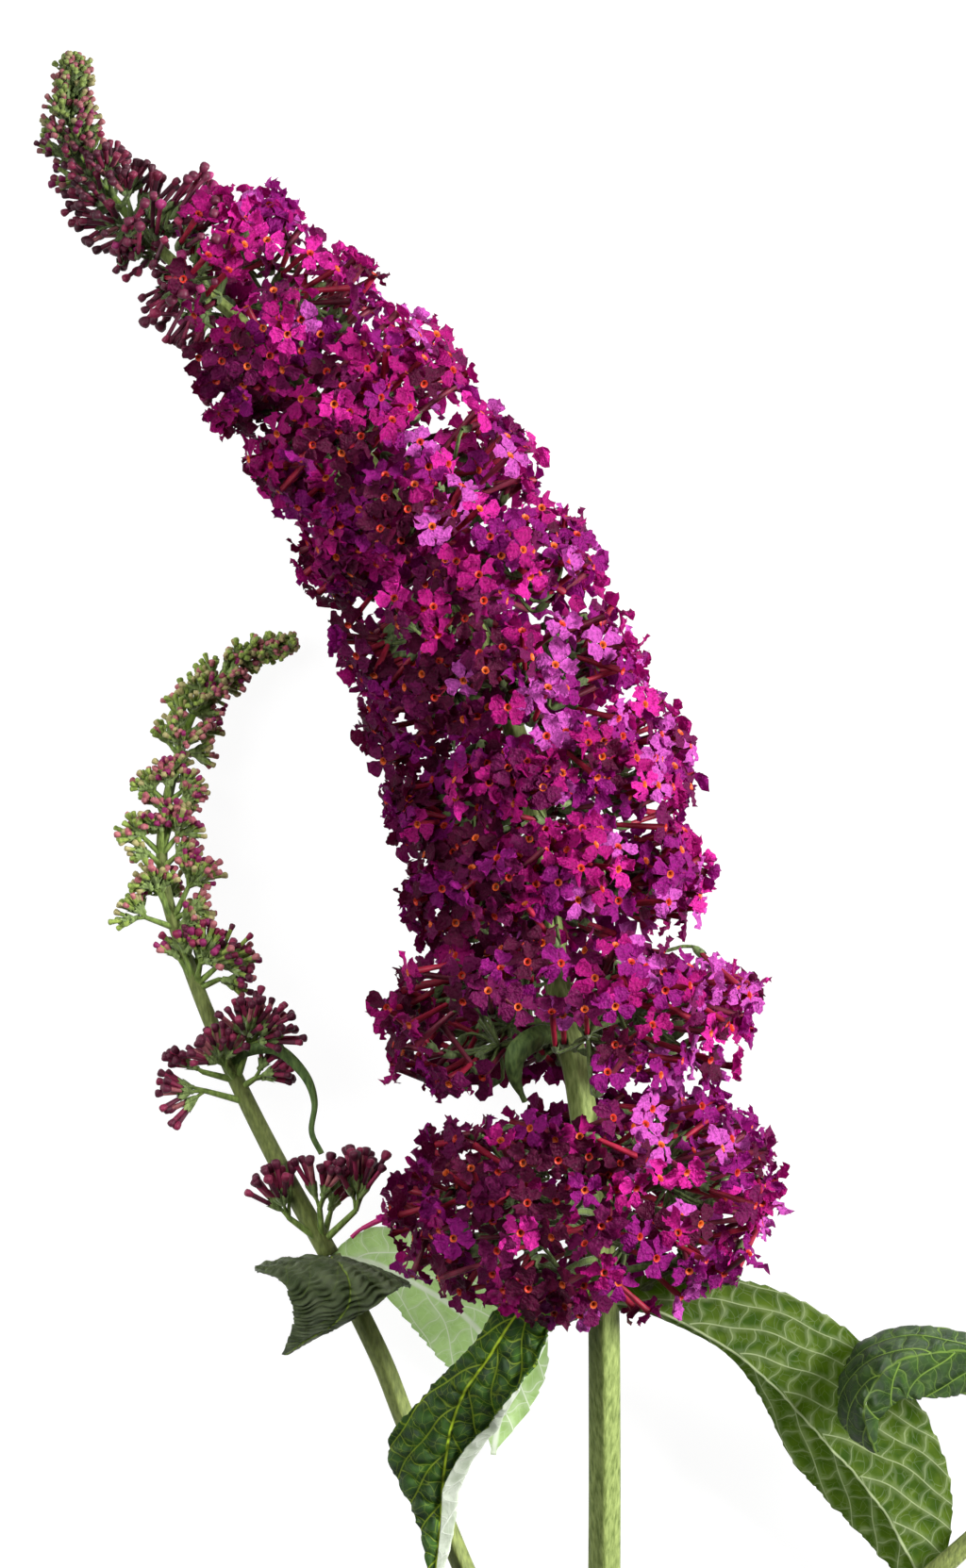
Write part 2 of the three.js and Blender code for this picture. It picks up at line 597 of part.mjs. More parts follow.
// One stalked head of a side spike: a stalk to each hub, and buds fanned out from the hub. The
// stalk of a second hub leaves that of the first.
function budHead(curve, whorl, hubs, azimuth, nearby) {
  const space = headSpace(curve, whorl.from, whorl.to, azimuth);
  const knot = frameAt(curve, whorl.knot / curve.getLength());
  let head = null;
  let foot = knot.centre;
  const join = (geometry) => {
    const solid = solidFrom(geometry);
    head = head ? head.add(solid) : solid;
  };
  for (const hub of hubs) {
    const place = knot.centre.clone()
      .addScaledVector(acrossAt(knot, hub.azimuth), hub.out)
      .addScaledVector(knot.along, hub.up);
    const aim = place.clone().sub(foot).normalize();
    const stalkLength = place.distanceTo(foot);
    const stalk = new THREE.CylinderGeometry(STALK_RADIUS, STALK_RADIUS, stalkLength, 3, 1);
    stalk.rotateX(Math.PI / 2);
    stalk.translate(0, 0, -stalkLength / 2);
    join(placed(stalk, place, aim, knot.along));
    join(placed(new THREE.OctahedronGeometry(KNUCKLE_RADIUS), place, aim, knot.along));
    const bud = budGeometry(BUD_RADIUS, hub.length);
    const fan = new THREE.Quaternion().setFromUnitVectors(UP, aim);
    for (let i = 0; i < hub.buds; i += 1) {
      const lift = 1 - (1 - Math.cos(FAN_ANGLE)) * (i + 0.5) / hub.buds;
      const turn = THREE.MathUtils.degToRad(i * GOLDEN_ANGLE);
      const flat = Math.sqrt(1 - lift ** 2);
      const axis = new THREE.Vector3(flat * Math.cos(turn), flat * Math.sin(turn), lift);
      axis.applyQuaternion(fan);
      const tip = place.clone().addScaledVector(axis, hub.length);
      const flower = placed(bud, tip, axis, knot.along);
      if (staysInside(flower, space.planes) && !touches(solidFrom(flower), nearby)) {
        join(flower);
      }
    }
    foot = foot.clone().lerp(place, HUB_FORK);
  }
  for (const obstacle of nearby) {
    head = head.subtract(obstacle);
  }
  return largestBody(head);
}

// The close-packed tip of a spike: a twig with short buds that point outward and forward.
function tipHead(tip, nearby) {
  const curve = curveThrough(tip.points);
  let head = solidFrom(limbGeometry(curve, taper(...tip.twig), { sides: 4, rings: 5 }));
  const reachOf = taper(...tip.reach);
  for (let i = 0; i < tip.buds; i += 1) {
    const share = (i + 0.5) / tip.buds;
    const frame = frameAt(curve, share);
    const direction = acrossAt(frame, i * GOLDEN_ANGLE);
    const axis = direction.clone().multiplyScalar(Math.cos(TIP_BUD_LEAN))
      .addScaledVector(frame.along, Math.sin(TIP_BUD_LEAN));
    const length = reachOf(share) / Math.cos(TIP_BUD_LEAN);
    const end = frame.centre.clone().addScaledVector(axis, length);
    const flower = placed(budGeometry(TIP_BUD_RADIUS * tip.swell, length), end, axis, frame.along);
    const solid = solidFrom(flower);
    if (staysInside(flower, [{ normal: UP, offset: GROUND }]) && !touches(solid, nearby)) {
      head = head.add(solid);
    }
  }
  return largestBody(head);
}

// ---------------------------------------------------------------- assembly

const MATERIALS = {
  stem: { color: 0x6f8a3c, roughness: 0.75 },
  leafTop: { color: 0x2f4d22, roughness: 0.6 },
  leafUnder: { color: 0x93ab78, roughness: 0.8 },
  petal: { color: 0x9c1b7e, roughness: 0.7 },
  bud: { color: 0x6a2346, roughness: 0.75 },
  youngBud: { color: 0x7c8a4c, roughness: 0.8 },
};

const branch = new THREE.Group();
branch.position.copy(FRAME_SHIFT);

function addNode(name, solid, finish) {
  const material = new THREE.MeshStandardMaterial({ ...MATERIALS[finish], metalness: 0 });
  const mesh = new THREE.Mesh(geometryFrom(solid), material);
  mesh.name = name;
  branch.add(mesh);
}

// Stems first, then leaves, each cut clear of what carries it.
const inflated = {};
for (const [name, limb] of Object.entries(LIMBS)) {
  let solid = limbSolid(limb);
  if (limb.from) {
    solid = largestBody(solid.subtract(inflated[limb.from]));
  }
  inflated[name] = limbSolid(limb, CLEARANCE);
  addNode(name, solid, 'stem');
}

for (const [name, leaf] of Object.entries(LEAVES)) {
  leaf.curve = curveThrough(leaf.midrib);
  let solid = leafSolid(leaf);
  for (const neighbour of Object.values(inflated)) {
    solid = solid.subtract(neighbour);
  }
  inflated[name] = leafSolid(leaf, CLEARANCE).add(solid);
  addNode(name, largestBody(solid), leaf.underside ? 'leafUnder' : 'leafTop');
}

const neighbours = Object.values(inflated);
WHORLS.forEach((whorl, index) => {
  const left = FIRST_AZIMUTH + (index % 2 ? 90 : 0);
  const label = `flowers_${String(index + 1).padStart(2, '0')}`;
  const leftHead = flowerHead(whorl, left, whorl.leftInBud, 2 * index + 1, neighbours);
  const rightHead = flowerHead(whorl, left + 180, whorl.rightInBud, 2 * index + 2, neighbours);
  addNode(`${label}_left`, leftHead, whorl.leftInBud ? 'bud' : 'petal');
  addNode(`${label}_right`, rightHead, whorl.rightInBud ? 'bud' : 'petal');
});

const sideSpikes = [['left', LEFT_WHORLS], ['right', RIGHT_WHORLS]];
for (const [side, whorls] of sideSpikes) {
  const { curve } = LIMBS[`${side}_shoot_upper`];
  whorls.forEach((whorl, index) => {
    const label = `buds_${side}_${index + 1}`;
    addNode(`${label}_left`, budHead(curve, whorl, whorl.left, whorl.split, neighbours), 'bud');
    addNode(`${label}_right`, budHead(curve, whorl, whorl.right, whorl.split + 180, neighbours), 'bud');
  });
}

for (const [name, tip] of Object.entries(TIPS)) {
  addNode(name, tipHead(tip, neighbours), 'youngBud');
}

export default branch;
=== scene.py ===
"""A cut flowering branch of butterfly bush, lying on its back.

Shapes are worked out in millimetres in the branch's own frame, which SHIFT and MM move into the row frame.
Stems, leaves and heads follow the rule of the solids and carry it to finer stalks, flowers and buds.
"""

import math

import bpy
import numpy as np
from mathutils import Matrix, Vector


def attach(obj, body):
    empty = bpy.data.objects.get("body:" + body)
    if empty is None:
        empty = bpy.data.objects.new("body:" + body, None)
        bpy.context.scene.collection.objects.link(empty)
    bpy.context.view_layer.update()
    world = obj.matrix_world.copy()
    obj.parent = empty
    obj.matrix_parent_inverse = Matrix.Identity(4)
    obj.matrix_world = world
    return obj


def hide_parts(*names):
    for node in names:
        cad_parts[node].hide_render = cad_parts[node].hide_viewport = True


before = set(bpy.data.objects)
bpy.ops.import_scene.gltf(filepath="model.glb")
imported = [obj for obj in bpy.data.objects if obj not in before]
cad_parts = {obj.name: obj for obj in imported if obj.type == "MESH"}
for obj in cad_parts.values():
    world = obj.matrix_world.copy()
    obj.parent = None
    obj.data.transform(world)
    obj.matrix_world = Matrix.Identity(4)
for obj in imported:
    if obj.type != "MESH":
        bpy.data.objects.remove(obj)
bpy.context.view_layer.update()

# ---------------------------------------------------------------- driving dimensions

MM = 0.001
SHIFT = np.array([-3.14, -0.56, -0.12])
UP = np.array([0.0, 0.0, 1.0])
GROUND = 0.25                      # nothing is drawn below this height
GOLDEN_TURN = math.radians(137.508)

STEM_POINTS = [
    (1.9, -193, 3.1), (1.9, -176, 6), (2.1, -114, 18), (1.9, -64, 30), (0.4, -43, 35), (-3.2, -16, 37),
    (-7.2, 3, 36), (-12.4, 41, 30), (-17.1, 58, 29), (-24.7, 77, 27), (-43.7, 107, 23.5),
    (-66.5, 133, 20), (-79.8, 145, 17), (-90.6, 155, 12.5),
]
TIP_POINTS = [
    (-90.8, 155.3, 12.4), (-98, 163.8, 9.5), (-104.5, 171.8, 7.5), (-105.9, 180, 6.5), (-105.4, 189.5, 6),
]
LEFT_LOWER_POINTS = [
    (1.9, -176, 6), (-12, -146, 8), (-26.6, -114, 10), (-38, -85, 12), (-43.5, -71, 13.5), (-53.2, -51.5, 15),
]
LEFT_UPPER_POINTS = [
    (-53.4, -51.1, 15), (-63, -34, 15), (-73, -14, 15), (-80.8, 4.6, 14), (-86.5, 22, 13), (-87.2, 35, 11.5),
    (-84.6, 49, 9.5),
]
LEFT_TIP_POINTS = [(-84.4, 49.4, 9.4), (-81, 58.5, 8), (-76, 65.5, 7), (-69, 71, 6), (-61.5, 73, 5)]
RIGHT_LOWER_POINTS = [
    (1.9, -176, 6), (36, -143, 15), (73.2, -111, 21), (85.5, -99, 22.5), (94, -85, 23), (97, -73.5, 22),
]
RIGHT_UPPER_POINTS = [(97.1, -73.1, 21.9), (99.5, -60, 19), (101.5, -46, 15.5)]
RIGHT_TIP_POINTS = [(101.6, -45.6, 15.4), (103, -33, 11), (102, -22, 7)]

STEM_NODE = 132                    # distance of the leaf node from the cut end
STEM_LENGTH = 381.5
STEM_RADII = [(0, 3.0), (STEM_NODE, 2.8), (STEM_LENGTH, 1.0)]
SHOOT_FOOT, SHOOT_NODE, SHOOT_TOP = 2.1, 1.9, 0.9

# Whorls of the big spike: start and end along the stem, reach from its axis, how much further they
# reach to the right than to the left, and how much they narrow to their lower and upper ends. parting, in
# degrees round the stem, is where the lowest flowers leave it bare. slant is how much lower its right
# side hangs.
WHORLS = [
    dict(start=134, end=178, reach=40, lean=-0.05, shoulder=(0.45, 0.22), pitch=6.5, parting=(60, 90)),
    dict(start=180.5, end=210, reach=39, lean=0, shoulder=(0.2, 0.35), pitch=6.2, parting=(80, 142),
         slant=4.5),
    dict(start=210, end=232, reach=31, lean=0.07),
    dict(start=232, end=253, reach=32, lean=0.06),
    dict(start=253, end=272.5, reach=30.5, lean=0.01),
    dict(start=272.5, end=291, reach=28.5, lean=0.05),
    dict(start=291, end=313.5, reach=27, lean=0.1),
    dict(start=313.5, end=335.5, reach=25, lean=0.15),
    dict(start=335.5, end=356, reach=22.5, lean=0.2),
    dict(start=356, end=375.5, reach=20, lean=0.25, pitch=4.9),
    dict(start=375.5, end=389.5, reach=15.5, lean=0.3, pitch=4.9),
]
OPENED_UP_TO, OPENING = 350, 20    # all flowers are open up to there, and all are closed after the second
SUNNY_LEAD = 14                    # those on the right, which had the sun, are this far ahead
FIRST_AZIMUTH = 135                # direction of the lowest whorl's first head, seen along the stem
SHOULDER = (0.06, 0.06)            # narrowing of a whorl that doesn't state its own

# Open flower, in its own frame: the throat at the origin, facing +Z.
LOBE_LENGTH = 4.6                  # from the middle of the throat to the end of a lobe
LOBE_SHARES = (0, 0.2, 0.5, 0.8, 1)   # of its length, at which a lobe has these half widths:
LOBE_HALF_WIDTHS = (0.60, 1.10, 1.75, 2.05, 1.65)
THROAT_RADIUS = 0.8
TUBE_LENGTH = 11.5
CALYX_LENGTH = 3.2
OUTER_CELLS = (6, 5)               # along and across a lobe
INNER_CELLS = (4, 3)
FLOWER_KINDS = 20                  # different flowers that are made and repeated
HALF_OPEN = 0.2                    # share of those whose lobes still stand up

# Heads of flowers
FLOWER_PITCH = 5.8                 # flowers stand this far apart, in rows round the stem
INNER_PITCH = 8.5                  # and so do those of the layer below
INNER_DEPTH = 7.5                  # of that layer below the outer one
WHORL_MARGIN = 3.2                 # the lowest and highest flowers stand this far inside their whorl
FLOWER_SINK = 4.5                  # the furthest that a flower stands back from its layer
FLOWER_TILT = 1.1                  # strength of the lean that each flower has of its own
CLUMPING = 0.12                    # share of its way to its fork that a flower is drawn aside
HUB_ROOM = 210                     # square millimetres of a head for each of its forks
HUB_SPREAD = 78                    # degrees to which the forks stand from the middle of their head
HUB_LEVELS = 0.30                  # share of the whorl's height to which they stand from its middle
HUB_REACH = (0.36, 0.46)           # shares of the head's reach at which they stand
HUB_SINK = (0.0, 1.6, 0.4, 2.2, 0.9)   # some bunches stand less far out than others
GOLDEN_SHARE = 0.618034
LEAF_CLEARANCE = 3.8               # no flower's throat is nearer to a leaf
LONG_BUD_LENGTH = 12.5
LONG_BUD_SHARES = [0.42, 0.25, 0.18, 0.15]
SIZE_SEED, INNER_SEED = 11, 5000   # of the flowers' sizes and kinds, and what sets the inner layer apart

# Buds
STEM_CLEARANCE = 2.7               # no bud's tip is nearer to the axis of its stem
LOWEST_TIP = 1.2                   # nor is it lower than this

# Net of veins in the leaves
VEIN_SPACING = 11.5                # between neighbouring side veins, along the midrib
VEIN_SLOPE = (1.7, 0.04)           # how far a side vein runs on, for each millimetre that it runs out
RUNG_SPACING = 4.4                 # between the cross veins that join two side veins
RUNG_STEP = 0.41                   # cross veins of neighbouring side veins don't meet
NET_CELL = 2.0                     # size of the cells of the finest veins

# ---------------------------------------------------------------- curves


class Curve:
    """The smooth curve of the solids through points, read by distance along it."""

    DIVISIONS = 600

    def __init__(self, points):
        inner = np.array(points, float)
        spread = np.vstack([2 * inner[0] - inner[1], inner, 2 * inner[-1] - inner[-2]])
        place = np.linspace(0, len(inner) - 1, self.DIVISIONS + 1)
        index = np.minimum(place.astype(int), len(inner) - 2)
        t = (place - index)[:, None]
        before, low, high, after = (spread[index + k] for k in range(4))
        slope_low, slope_high = 0.5 * (high - before), 0.5 * (after - low)
        self.places = (
            low + slope_low * t
            + (3 * (high - low) - 2 * slope_low - slope_high) * t**2
            + (2 * (low - high) + slope_low + slope_high) * t**3
        )
        steps = np.linalg.norm(np.diff(self.places, axis=0), axis=1)
        self.distances = np.concatenate([[0], np.cumsum(steps)])
        self.length = self.distances[-1]
        self.slopes = np.gradient(self.places, self.distances, axis=0)

    def at(self, distance):
        """Centre and unit axes at distances: along the curve, to its right, and up from it."""
        distance = np.clip(np.atleast_1d(np.asarray(distance, float)), 0, self.length)
        centre = np.stack([np.interp(distance, self.distances, self.places[:, k]) for k in range(3)], 1)
        along = unit(np.stack([np.interp(distance, self.distances, self.slopes[:, k]) for k in range(3)], 1))
        right = unit(np.cross(along, UP))
        return centre, along, right, np.cross(right, along)


def unit(v):
    return v / np.linalg.norm(v, axis=-1, keepdims=True)


def rotated(v, axis, angle):
    """Vectors turned about unit axes by angles in radians."""
    angle = np.asarray(angle, float)[..., None]
    c, s = np.cos(angle), np.sin(angle)
    return v * c + np.cross(axis, v) * s + axis * np.sum(axis * v, -1, keepdims=True) * (1 - c)


def across(axes, degrees):
    """Direction across a curve: 0 is right, 90 up, 180 left, 270 down."""
    angle = math.radians(degrees)
    return axes[2][0] * math.cos(angle) + axes[3][0] * math.sin(angle)


STEM = Curve(STEM_POINTS)

# ---------------------------------------------------------------- meshes from arrays


def mesh_object(name, vertices, faces, materials, kinds=None, values=None):
    """An object from millimetre vertices and faces with one number of corners."""
    mesh = bpy.data.meshes.new(name)
    count, corners = faces.shape
    placed = np.array(vertices, float)
    placed[:, 2] = np.maximum(placed[:, 2], GROUND)
    placed = (placed + SHIFT) * MM
    mesh.vertices.add(len(placed))
    mesh.vertices.foreach_set("co", placed.astype(np.float32).ravel())
    mesh.loops.add(count * corners)
    mesh.loops.foreach_set("vertex_index", faces.astype(np.int32).ravel())
    mesh.polygons.add(count)
    mesh.polygons.foreach_set("loop_start", np.arange(0, count * corners, corners, dtype=np.int32))
    for material in materials:
        mesh.materials.append(material)
    if kinds is not None:
        mesh.polygons.foreach_set("material_index", np.asarray(kinds, np.int32))
    mesh.polygons.foreach_set("use_smooth", np.full(count, True))
    for key, numbers in (values or {}).items():
        layer = mesh.attributes.new(key, "FLOAT", "POINT")
        layer.data.foreach_set("value", np.asarray(numbers, np.float32))
    mesh.update(calc_edges=True)
    mesh.validate()
    piece = bpy.data.objects.new(name, mesh)
    bpy.context.scene.collection.objects.link(piece)
    return piece


def finish_piece(piece, nodes):
    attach(piece, "root")
    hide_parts(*nodes)


class Bag:
    """Triangles of one kind that end up joined in one piece."""

    def __init__(self):
        self.vertices, self.faces, self.kinds, self.count = [], [], [], 0

    def add(self, vertices, faces, kinds=0):
        self.vertices.append(vertices)
        self.faces.append(faces + self.count)
        self.kinds.append(np.broadcast_to(np.asarray(kinds, np.int32), len(faces)))
        self.count += len(vertices)

    def stamp(self, shape, turn, place, kind_shift=0):
        """A copy of a template (vertices, faces, kinds), turned by a matrix and moved to a place."""
        vertices, faces, kinds = shape
        kinds = np.broadcast_to(kinds, len(faces)) + kind_shift
        self.add(np.einsum("ij,mj->mi", turn, vertices) + place, faces, kinds)

    def piece(self, name, materials, slot, nodes):
        vertices, faces, kinds = (np.concatenate(part) for part in (self.vertices, self.faces, self.kinds))
        finish_piece(mesh_object(name, vertices, faces, materials, kinds), nodes)


def grid_faces(rows, columns, closed=False):
    """Quads over a grid of rows by columns of points, closed round the columns for a tube."""
    wide = columns if closed else columns - 1
    r, c = np.meshgrid(np.arange(rows - 1), np.arange(wide), indexing="ij")
    a = r * columns + c
    b = r * columns + (c + 1) % columns
    return np.stack([a, b, b + columns, a + columns], -1).reshape(-1, 4)


def triangles(quads):
    return np.concatenate([quads[:, [0, 1, 2]], quads[:, [0, 2, 3]]])


def revolved(profile, sides, square=0.0):
    """Triangles round +Z through (height, radius) pairs, with a squarish section if asked."""
    angle = np.arange(sides) * 2 * math.pi / sides
    swell = 1 + square * np.cos(4 * angle)
    rings = []
    for height, radius in profile:
        ring = [radius * swell * np.cos(angle), radius * swell * np.sin(angle), np.full(sides, height)]
        rings.append(np.stack(ring, 1))
    return np.concatenate(rings), triangles(grid_faces(len(profile), sides, closed=True))


def tube(points, radii, sides):
    """Triangles of a tube along points, without ends."""
    points = np.asarray(points, float)
    along = unit(np.gradient(points, axis=0))
    helper = np.where(np.abs(along[:, 2:]) > 0.9, np.array([1.0, 0, 0]), UP)
    side = unit(np.cross(along, helper))
    other = np.cross(side, along)
    angle = np.arange(sides) * 2 * math.pi / sides
    ring = side[:, None] * np.cos(angle)[None, :, None] + other[:, None] * np.sin(angle)[None, :, None]
    vertices = points[:, None] + ring * np.asarray(radii, float)[:, None, None]
    return vertices.reshape(-1, 3), triangles(grid_faces(len(points), sides, closed=True))


def bent(start, middle, end, steps):
    t = np.linspace(0, 1, steps)[:, None]
    return (1 - t) ** 2 * start + 2 * t * (1 - t) * middle + t**2 * end


# ---------------------------------------------------------------- materials

# Lengths in this section are in metres, and scales are per metre.
FINE_BUMP = 0.0005
PETAL_BUMP = 0.0007
PLAIN_BUMP = 0.0004
LEAF_BUMP = 0.00025
THROUGH_PETAL, THROUGH_PLAIN = 0.22, 0.2   # shares of light from behind
RIB_WIDTH, SIDE_WIDTH, CROSS_WIDTH, FINE_WIDTH = 0.20, 0.13, 0.10, 0.05   # of veins, in millimetres
SIDE_WOOL, CROSS_WOOL = 0.75, 0.5          # widths of the wool along them
SIDE_SLANT = 0.45                          # from distance along the blade to distance across a side vein


def set_inputs(tree, node, inputs):
    """Sets a node's inputs to plain values, or links them to other nodes' sockets."""
    for key, value in inputs.items():
        socket = node.inputs[key]
        if isinstance(value, bpy.types.NodeSocket):
            tree.links.new(value, socket)
        elif socket.type == "RGBA":
            socket.default_value = (*value, 1)
        else:
            socket.default_value = value


def add_node(tree, kind, inputs, **settings):
    node = tree.nodes.new("ShaderNode" + kind)
    for key, value in settings.items():
        setattr(node, key, value)
    set_inputs(tree, node, inputs)
    return node


def new_material(name):
    material = bpy.data.materials.new(name)
    material.use_nodes = True
    tree = material.node_tree
    return material, tree, tree.nodes["Principled BSDF"], tree.nodes["Material Output"]


def noise_mix(tree, low, high, scale, detail=3.0, stretch=(1, 1, 1), contrast=(0.3, 0.7)):
    """A colour that wanders between two by noise over the piece; gives the noise's socket too."""
    place = add_node(tree, "TexCoord", {}).outputs["Object"]
    mapped = add_node(tree, "Mapping", {"Vector": place, "Scale": stretch}).outputs["Vector"]
    noise = add_node(tree, "TexNoise", {"Vector": mapped, "Scale": scale, "Detail": detail}).outputs["Fac"]
    ramp = add_node(tree, "ValToRGB", {"Fac": noise})
    for element, position, colour in zip(ramp.color_ramp.elements, contrast, (low, high)):
        element.position = position
        element.color = (*colour, 1)
    return ramp.outputs["Color"], noise


def add_bump(tree, shader, height, strength, distance):
    bump = add_node(tree, "Bump", {"Strength": strength, "Distance": distance, "Height": height})
    set_inputs(tree, shader, {"Normal": bump.outputs["Normal"]})


def let_light_through(tree, shader, output, colour, share):
    """Mixes in light from behind, as thin petals and leaves show it."""
    glow = add_node(tree, "BsdfTranslucent", {"Color": colour}).outputs["BSDF"]
    mix = add_node(tree, "MixShader", {"Fac": share, 1: shader.outputs["BSDF"], 2: glow})
    set_inputs(tree, output, {"Surface": mix.outputs["Shader"]})


def petal_material(name, colour, through):
    material, tree, shader, output = new_material(name)
    low, high = [0.65 * c for c in colour], [min(1, 1.35 * c) for c in colour]
    mottle, fine = noise_mix(tree, low, high, 1700)
    set_inputs(tree, shader, {
        "Base Color": mottle, "Roughness": 0.48, "Specular IOR Level": 0.12, "Sheen Weight": 0.02,
        "Sheen Roughness": 0.4, "Sheen Tint": (1.0, 0.7, 0.95),
    })
    add_bump(tree, shader, fine, 1.0, PETAL_BUMP)
    let_light_through(tree, shader, output, through, THROUGH_PETAL)
    return material


def plain_material(name, low, high, roughness, through=None, bump=0.3):
    material, tree, shader, output = new_material(name)
    mottle, fine = noise_mix(tree, low, high, 500)
    set_inputs(tree, shader, {"Base Color": mottle, "Roughness": roughness, "Specular IOR Level": 0.3})
    if bump:
        add_bump(tree, shader, fine, bump, PLAIN_BUMP)
    if through:
        let_light_through(tree, shader, output, through, THROUGH_PLAIN)
    return material


def woolly_material(name, low, high, sheen):
    """Green skin with short pale hairs, which show as a sheen at its edges."""
    material, tree, shader, _ = new_material(name)
    mottle, fine = noise_mix(tree, low, high, 1400, stretch=(1, 0.25, 1))
    set_inputs(tree, shader, {
        "Base Color": mottle, "Roughness": 0.75, "Sheen Weight": sheen, "Sheen Roughness": 0.35,
        "Sheen Tint": (0.85, 0.9, 0.75),
    })
    add_bump(tree, shader, fine, 0.5, FINE_BUMP)
    return material


def math_node(tree, operation, *values):
    return add_node(tree, "Math", dict(enumerate(values)), operation=operation).outputs[0]


def thin_line(tree, away, width):
    """One on a line and nought beyond it, from the distance away from that line."""
    inputs = {"Value": away, "From Min": width * 0.4, "From Max": width * 1.8, "To Min": 1, "To Max": 0}
    return add_node(tree, "MapRange", inputs, interpolation_type="SMOOTHSTEP").outputs["Result"]


def read_value(tree, name):
    return add_node(tree, "Attribute", {}, attribute_name=name).outputs["Fac"]


def vein_net(tree, strengths, rib_width=RIB_WIDTH, felt=0):
    """Strength of the veins from the mesh's own band, rung and rib values: rib, side, cross, fine.

    felt is the strength of the pale wool that spreads from the veins into the cells.
    """

    def compute(operation, *values):
        return math_node(tree, operation, *values)

    rib, band, rung = (read_value(tree, name) for name in ("rib", "band", "rung"))
    away_rib = compute("ABSOLUTE", rib)
    away_side = compute("MULTIPLY", compute("PINGPONG", band, 0.5), VEIN_SPACING * SIDE_SLANT)
    stepped = compute("ADD", rung, compute("MULTIPLY", compute("FLOOR", band), RUNG_STEP))
    away_cross = compute("MULTIPLY", compute("PINGPONG", stepped, 0.5), RUNG_SPACING)
    place = add_node(tree, "CombineXYZ", {
        "X": compute("MULTIPLY", rung, RUNG_SPACING / NET_CELL), "Y": compute("MULTIPLY", rib, 1 / NET_CELL),
    }).outputs["Vector"]
    cells = add_node(tree, "TexVoronoi", {"Scale": 1, "Vector": place}, feature="DISTANCE_TO_EDGE")
    away_fine = compute("MULTIPLY", cells.outputs["Distance"], NET_CELL)
    distances = (away_rib, away_side, away_cross, away_fine)
    widths = (rib_width, SIDE_WIDTH, CROSS_WIDTH, FINE_WIDTH)
    lines = [thin_line(tree, away, width) for away, width in zip(distances, widths)]
    if felt:
        patches = add_node(tree, "TexNoise", {"Scale": 0.9, "Vector": place}).outputs["Fac"]
        wool = thin_line(tree, away_side, SIDE_WOOL), thin_line(tree, away_cross, CROSS_WOOL)
        lines.append(compute("MULTIPLY", compute("MAXIMUM", *wool), compute("POWER", patches, 2)))
        strengths = (*strengths, felt)
    parts = [compute("MULTIPLY", line, strength) for line, strength in zip(lines, strengths)]
    total = parts[0]
    for part in parts[1:]:
        total = compute("MAXIMUM", total, part)
    return total


def colour_by(tree, factor, low, high):
    """A colour between two, each a plain one or a socket, by a factor's socket."""
    return add_node(tree, "Mix", {"Factor": factor, "A": low, "B": high}, data_type="RGBA").outputs["Result"]


def leaf_material(name, dark, light, vein, through, share, raised, roughness, shine=0.5, **veins):
    """A blade with its net of veins, sunken on top and raised below. raised is their bump's height."""
    material, tree, shader, output = new_material(name)
    mottle, _ = noise_mix(tree, dark, light, 330, detail=4, contrast=(0.35, 0.65))
    net = vein_net(tree, **veins)
    colour = colour_by(tree, net, mottle, vein)
    set_inputs(tree, shader, {"Base Color": colour, "Roughness": roughness, "Specular IOR Level": shine})
    fleece = add_node(tree, "TexNoise", {"Scale": 1800}).outputs["Fac"]
    relief = math_node(tree, "ADD", math_node(tree, "MULTIPLY", net, raised), fleece)
    add_bump(tree, shader, relief, 0.6, LEAF_BUMP)
    clear = tuple(0.5 + 0.5 * c for c in through)
    let_light_through(tree, shader, output, colour_by(tree, net, through, clear), share)
    return material


# Petals: colour, and colour of the light that comes through. Lilac is lighter, plum and wine darker;
# petal_tone gives more lilac to the right as painted light and more plum and wine to the left as painted
# shade
PETAL_TONES = [
    ("petal_violet", (0.170, 0.002, 0.112), (0.40, 0.008, 0.23)),
    ("petal_lilac", (0.37, 0.055, 0.300), (0.54, 0.05, 0.36)),
    ("petal_magenta", (0.245, 0.001, 0.102), (0.52, 0.006, 0.20)),
    ("petal_pink", (0.42, 0.010, 0.200), (0.64, 0.015, 0.27)),
    ("petal_plum", (0.090, 0.001, 0.042), (0.27, 0.003, 0.11)),
    ("petal_wine", (0.052, 0.0005, 0.018), (0.20, 0.002, 0.05)),
]
PETAL_PINK = 3                     # place of that tone in the list
petals = [petal_material(*tone) for tone in PETAL_TONES]
tube_materials = [
    plain_material("tube_crimson", (0.17, 0.005, 0.02), (0.36, 0.014, 0.045), 0.5, through=(0.6, 0.02, 0.05)),
    plain_material("tube_wine", (0.06, 0.003, 0.012), (0.16, 0.010, 0.032), 0.55),
    plain_material("eye_orange", (0.34, 0.035, 0.004), (0.52, 0.09, 0.006), 0.5, bump=0),
    plain_material("eye_red", (0.27, 0.008, 0.003), (0.44, 0.025, 0.005), 0.5, bump=0),
    # dark brown of the disc that closes the throat: painted shade where the tube goes deep
    plain_material("throat_shade", (0.10, 0.014, 0.004), (0.20, 0.03, 0.006), 0.6, bump=0),
    plain_material("tube_pink", (0.42, 0.015, 0.13), (0.62, 0.05, 0.24), 0.5, through=(0.9, 0.08, 0.3)),
]
CRIMSON, WINE, ORANGE, RED, THROAT_SHADE, PINK = range(6)
green_materials = [
    woolly_material("calyx_green", (0.088, 0.135, 0.030), (0.29, 0.40, 0.120), 0.4),
    woolly_material("stalk_green", (0.075, 0.125, 0.016), (0.22, 0.32, 0.060), 0.3),
]
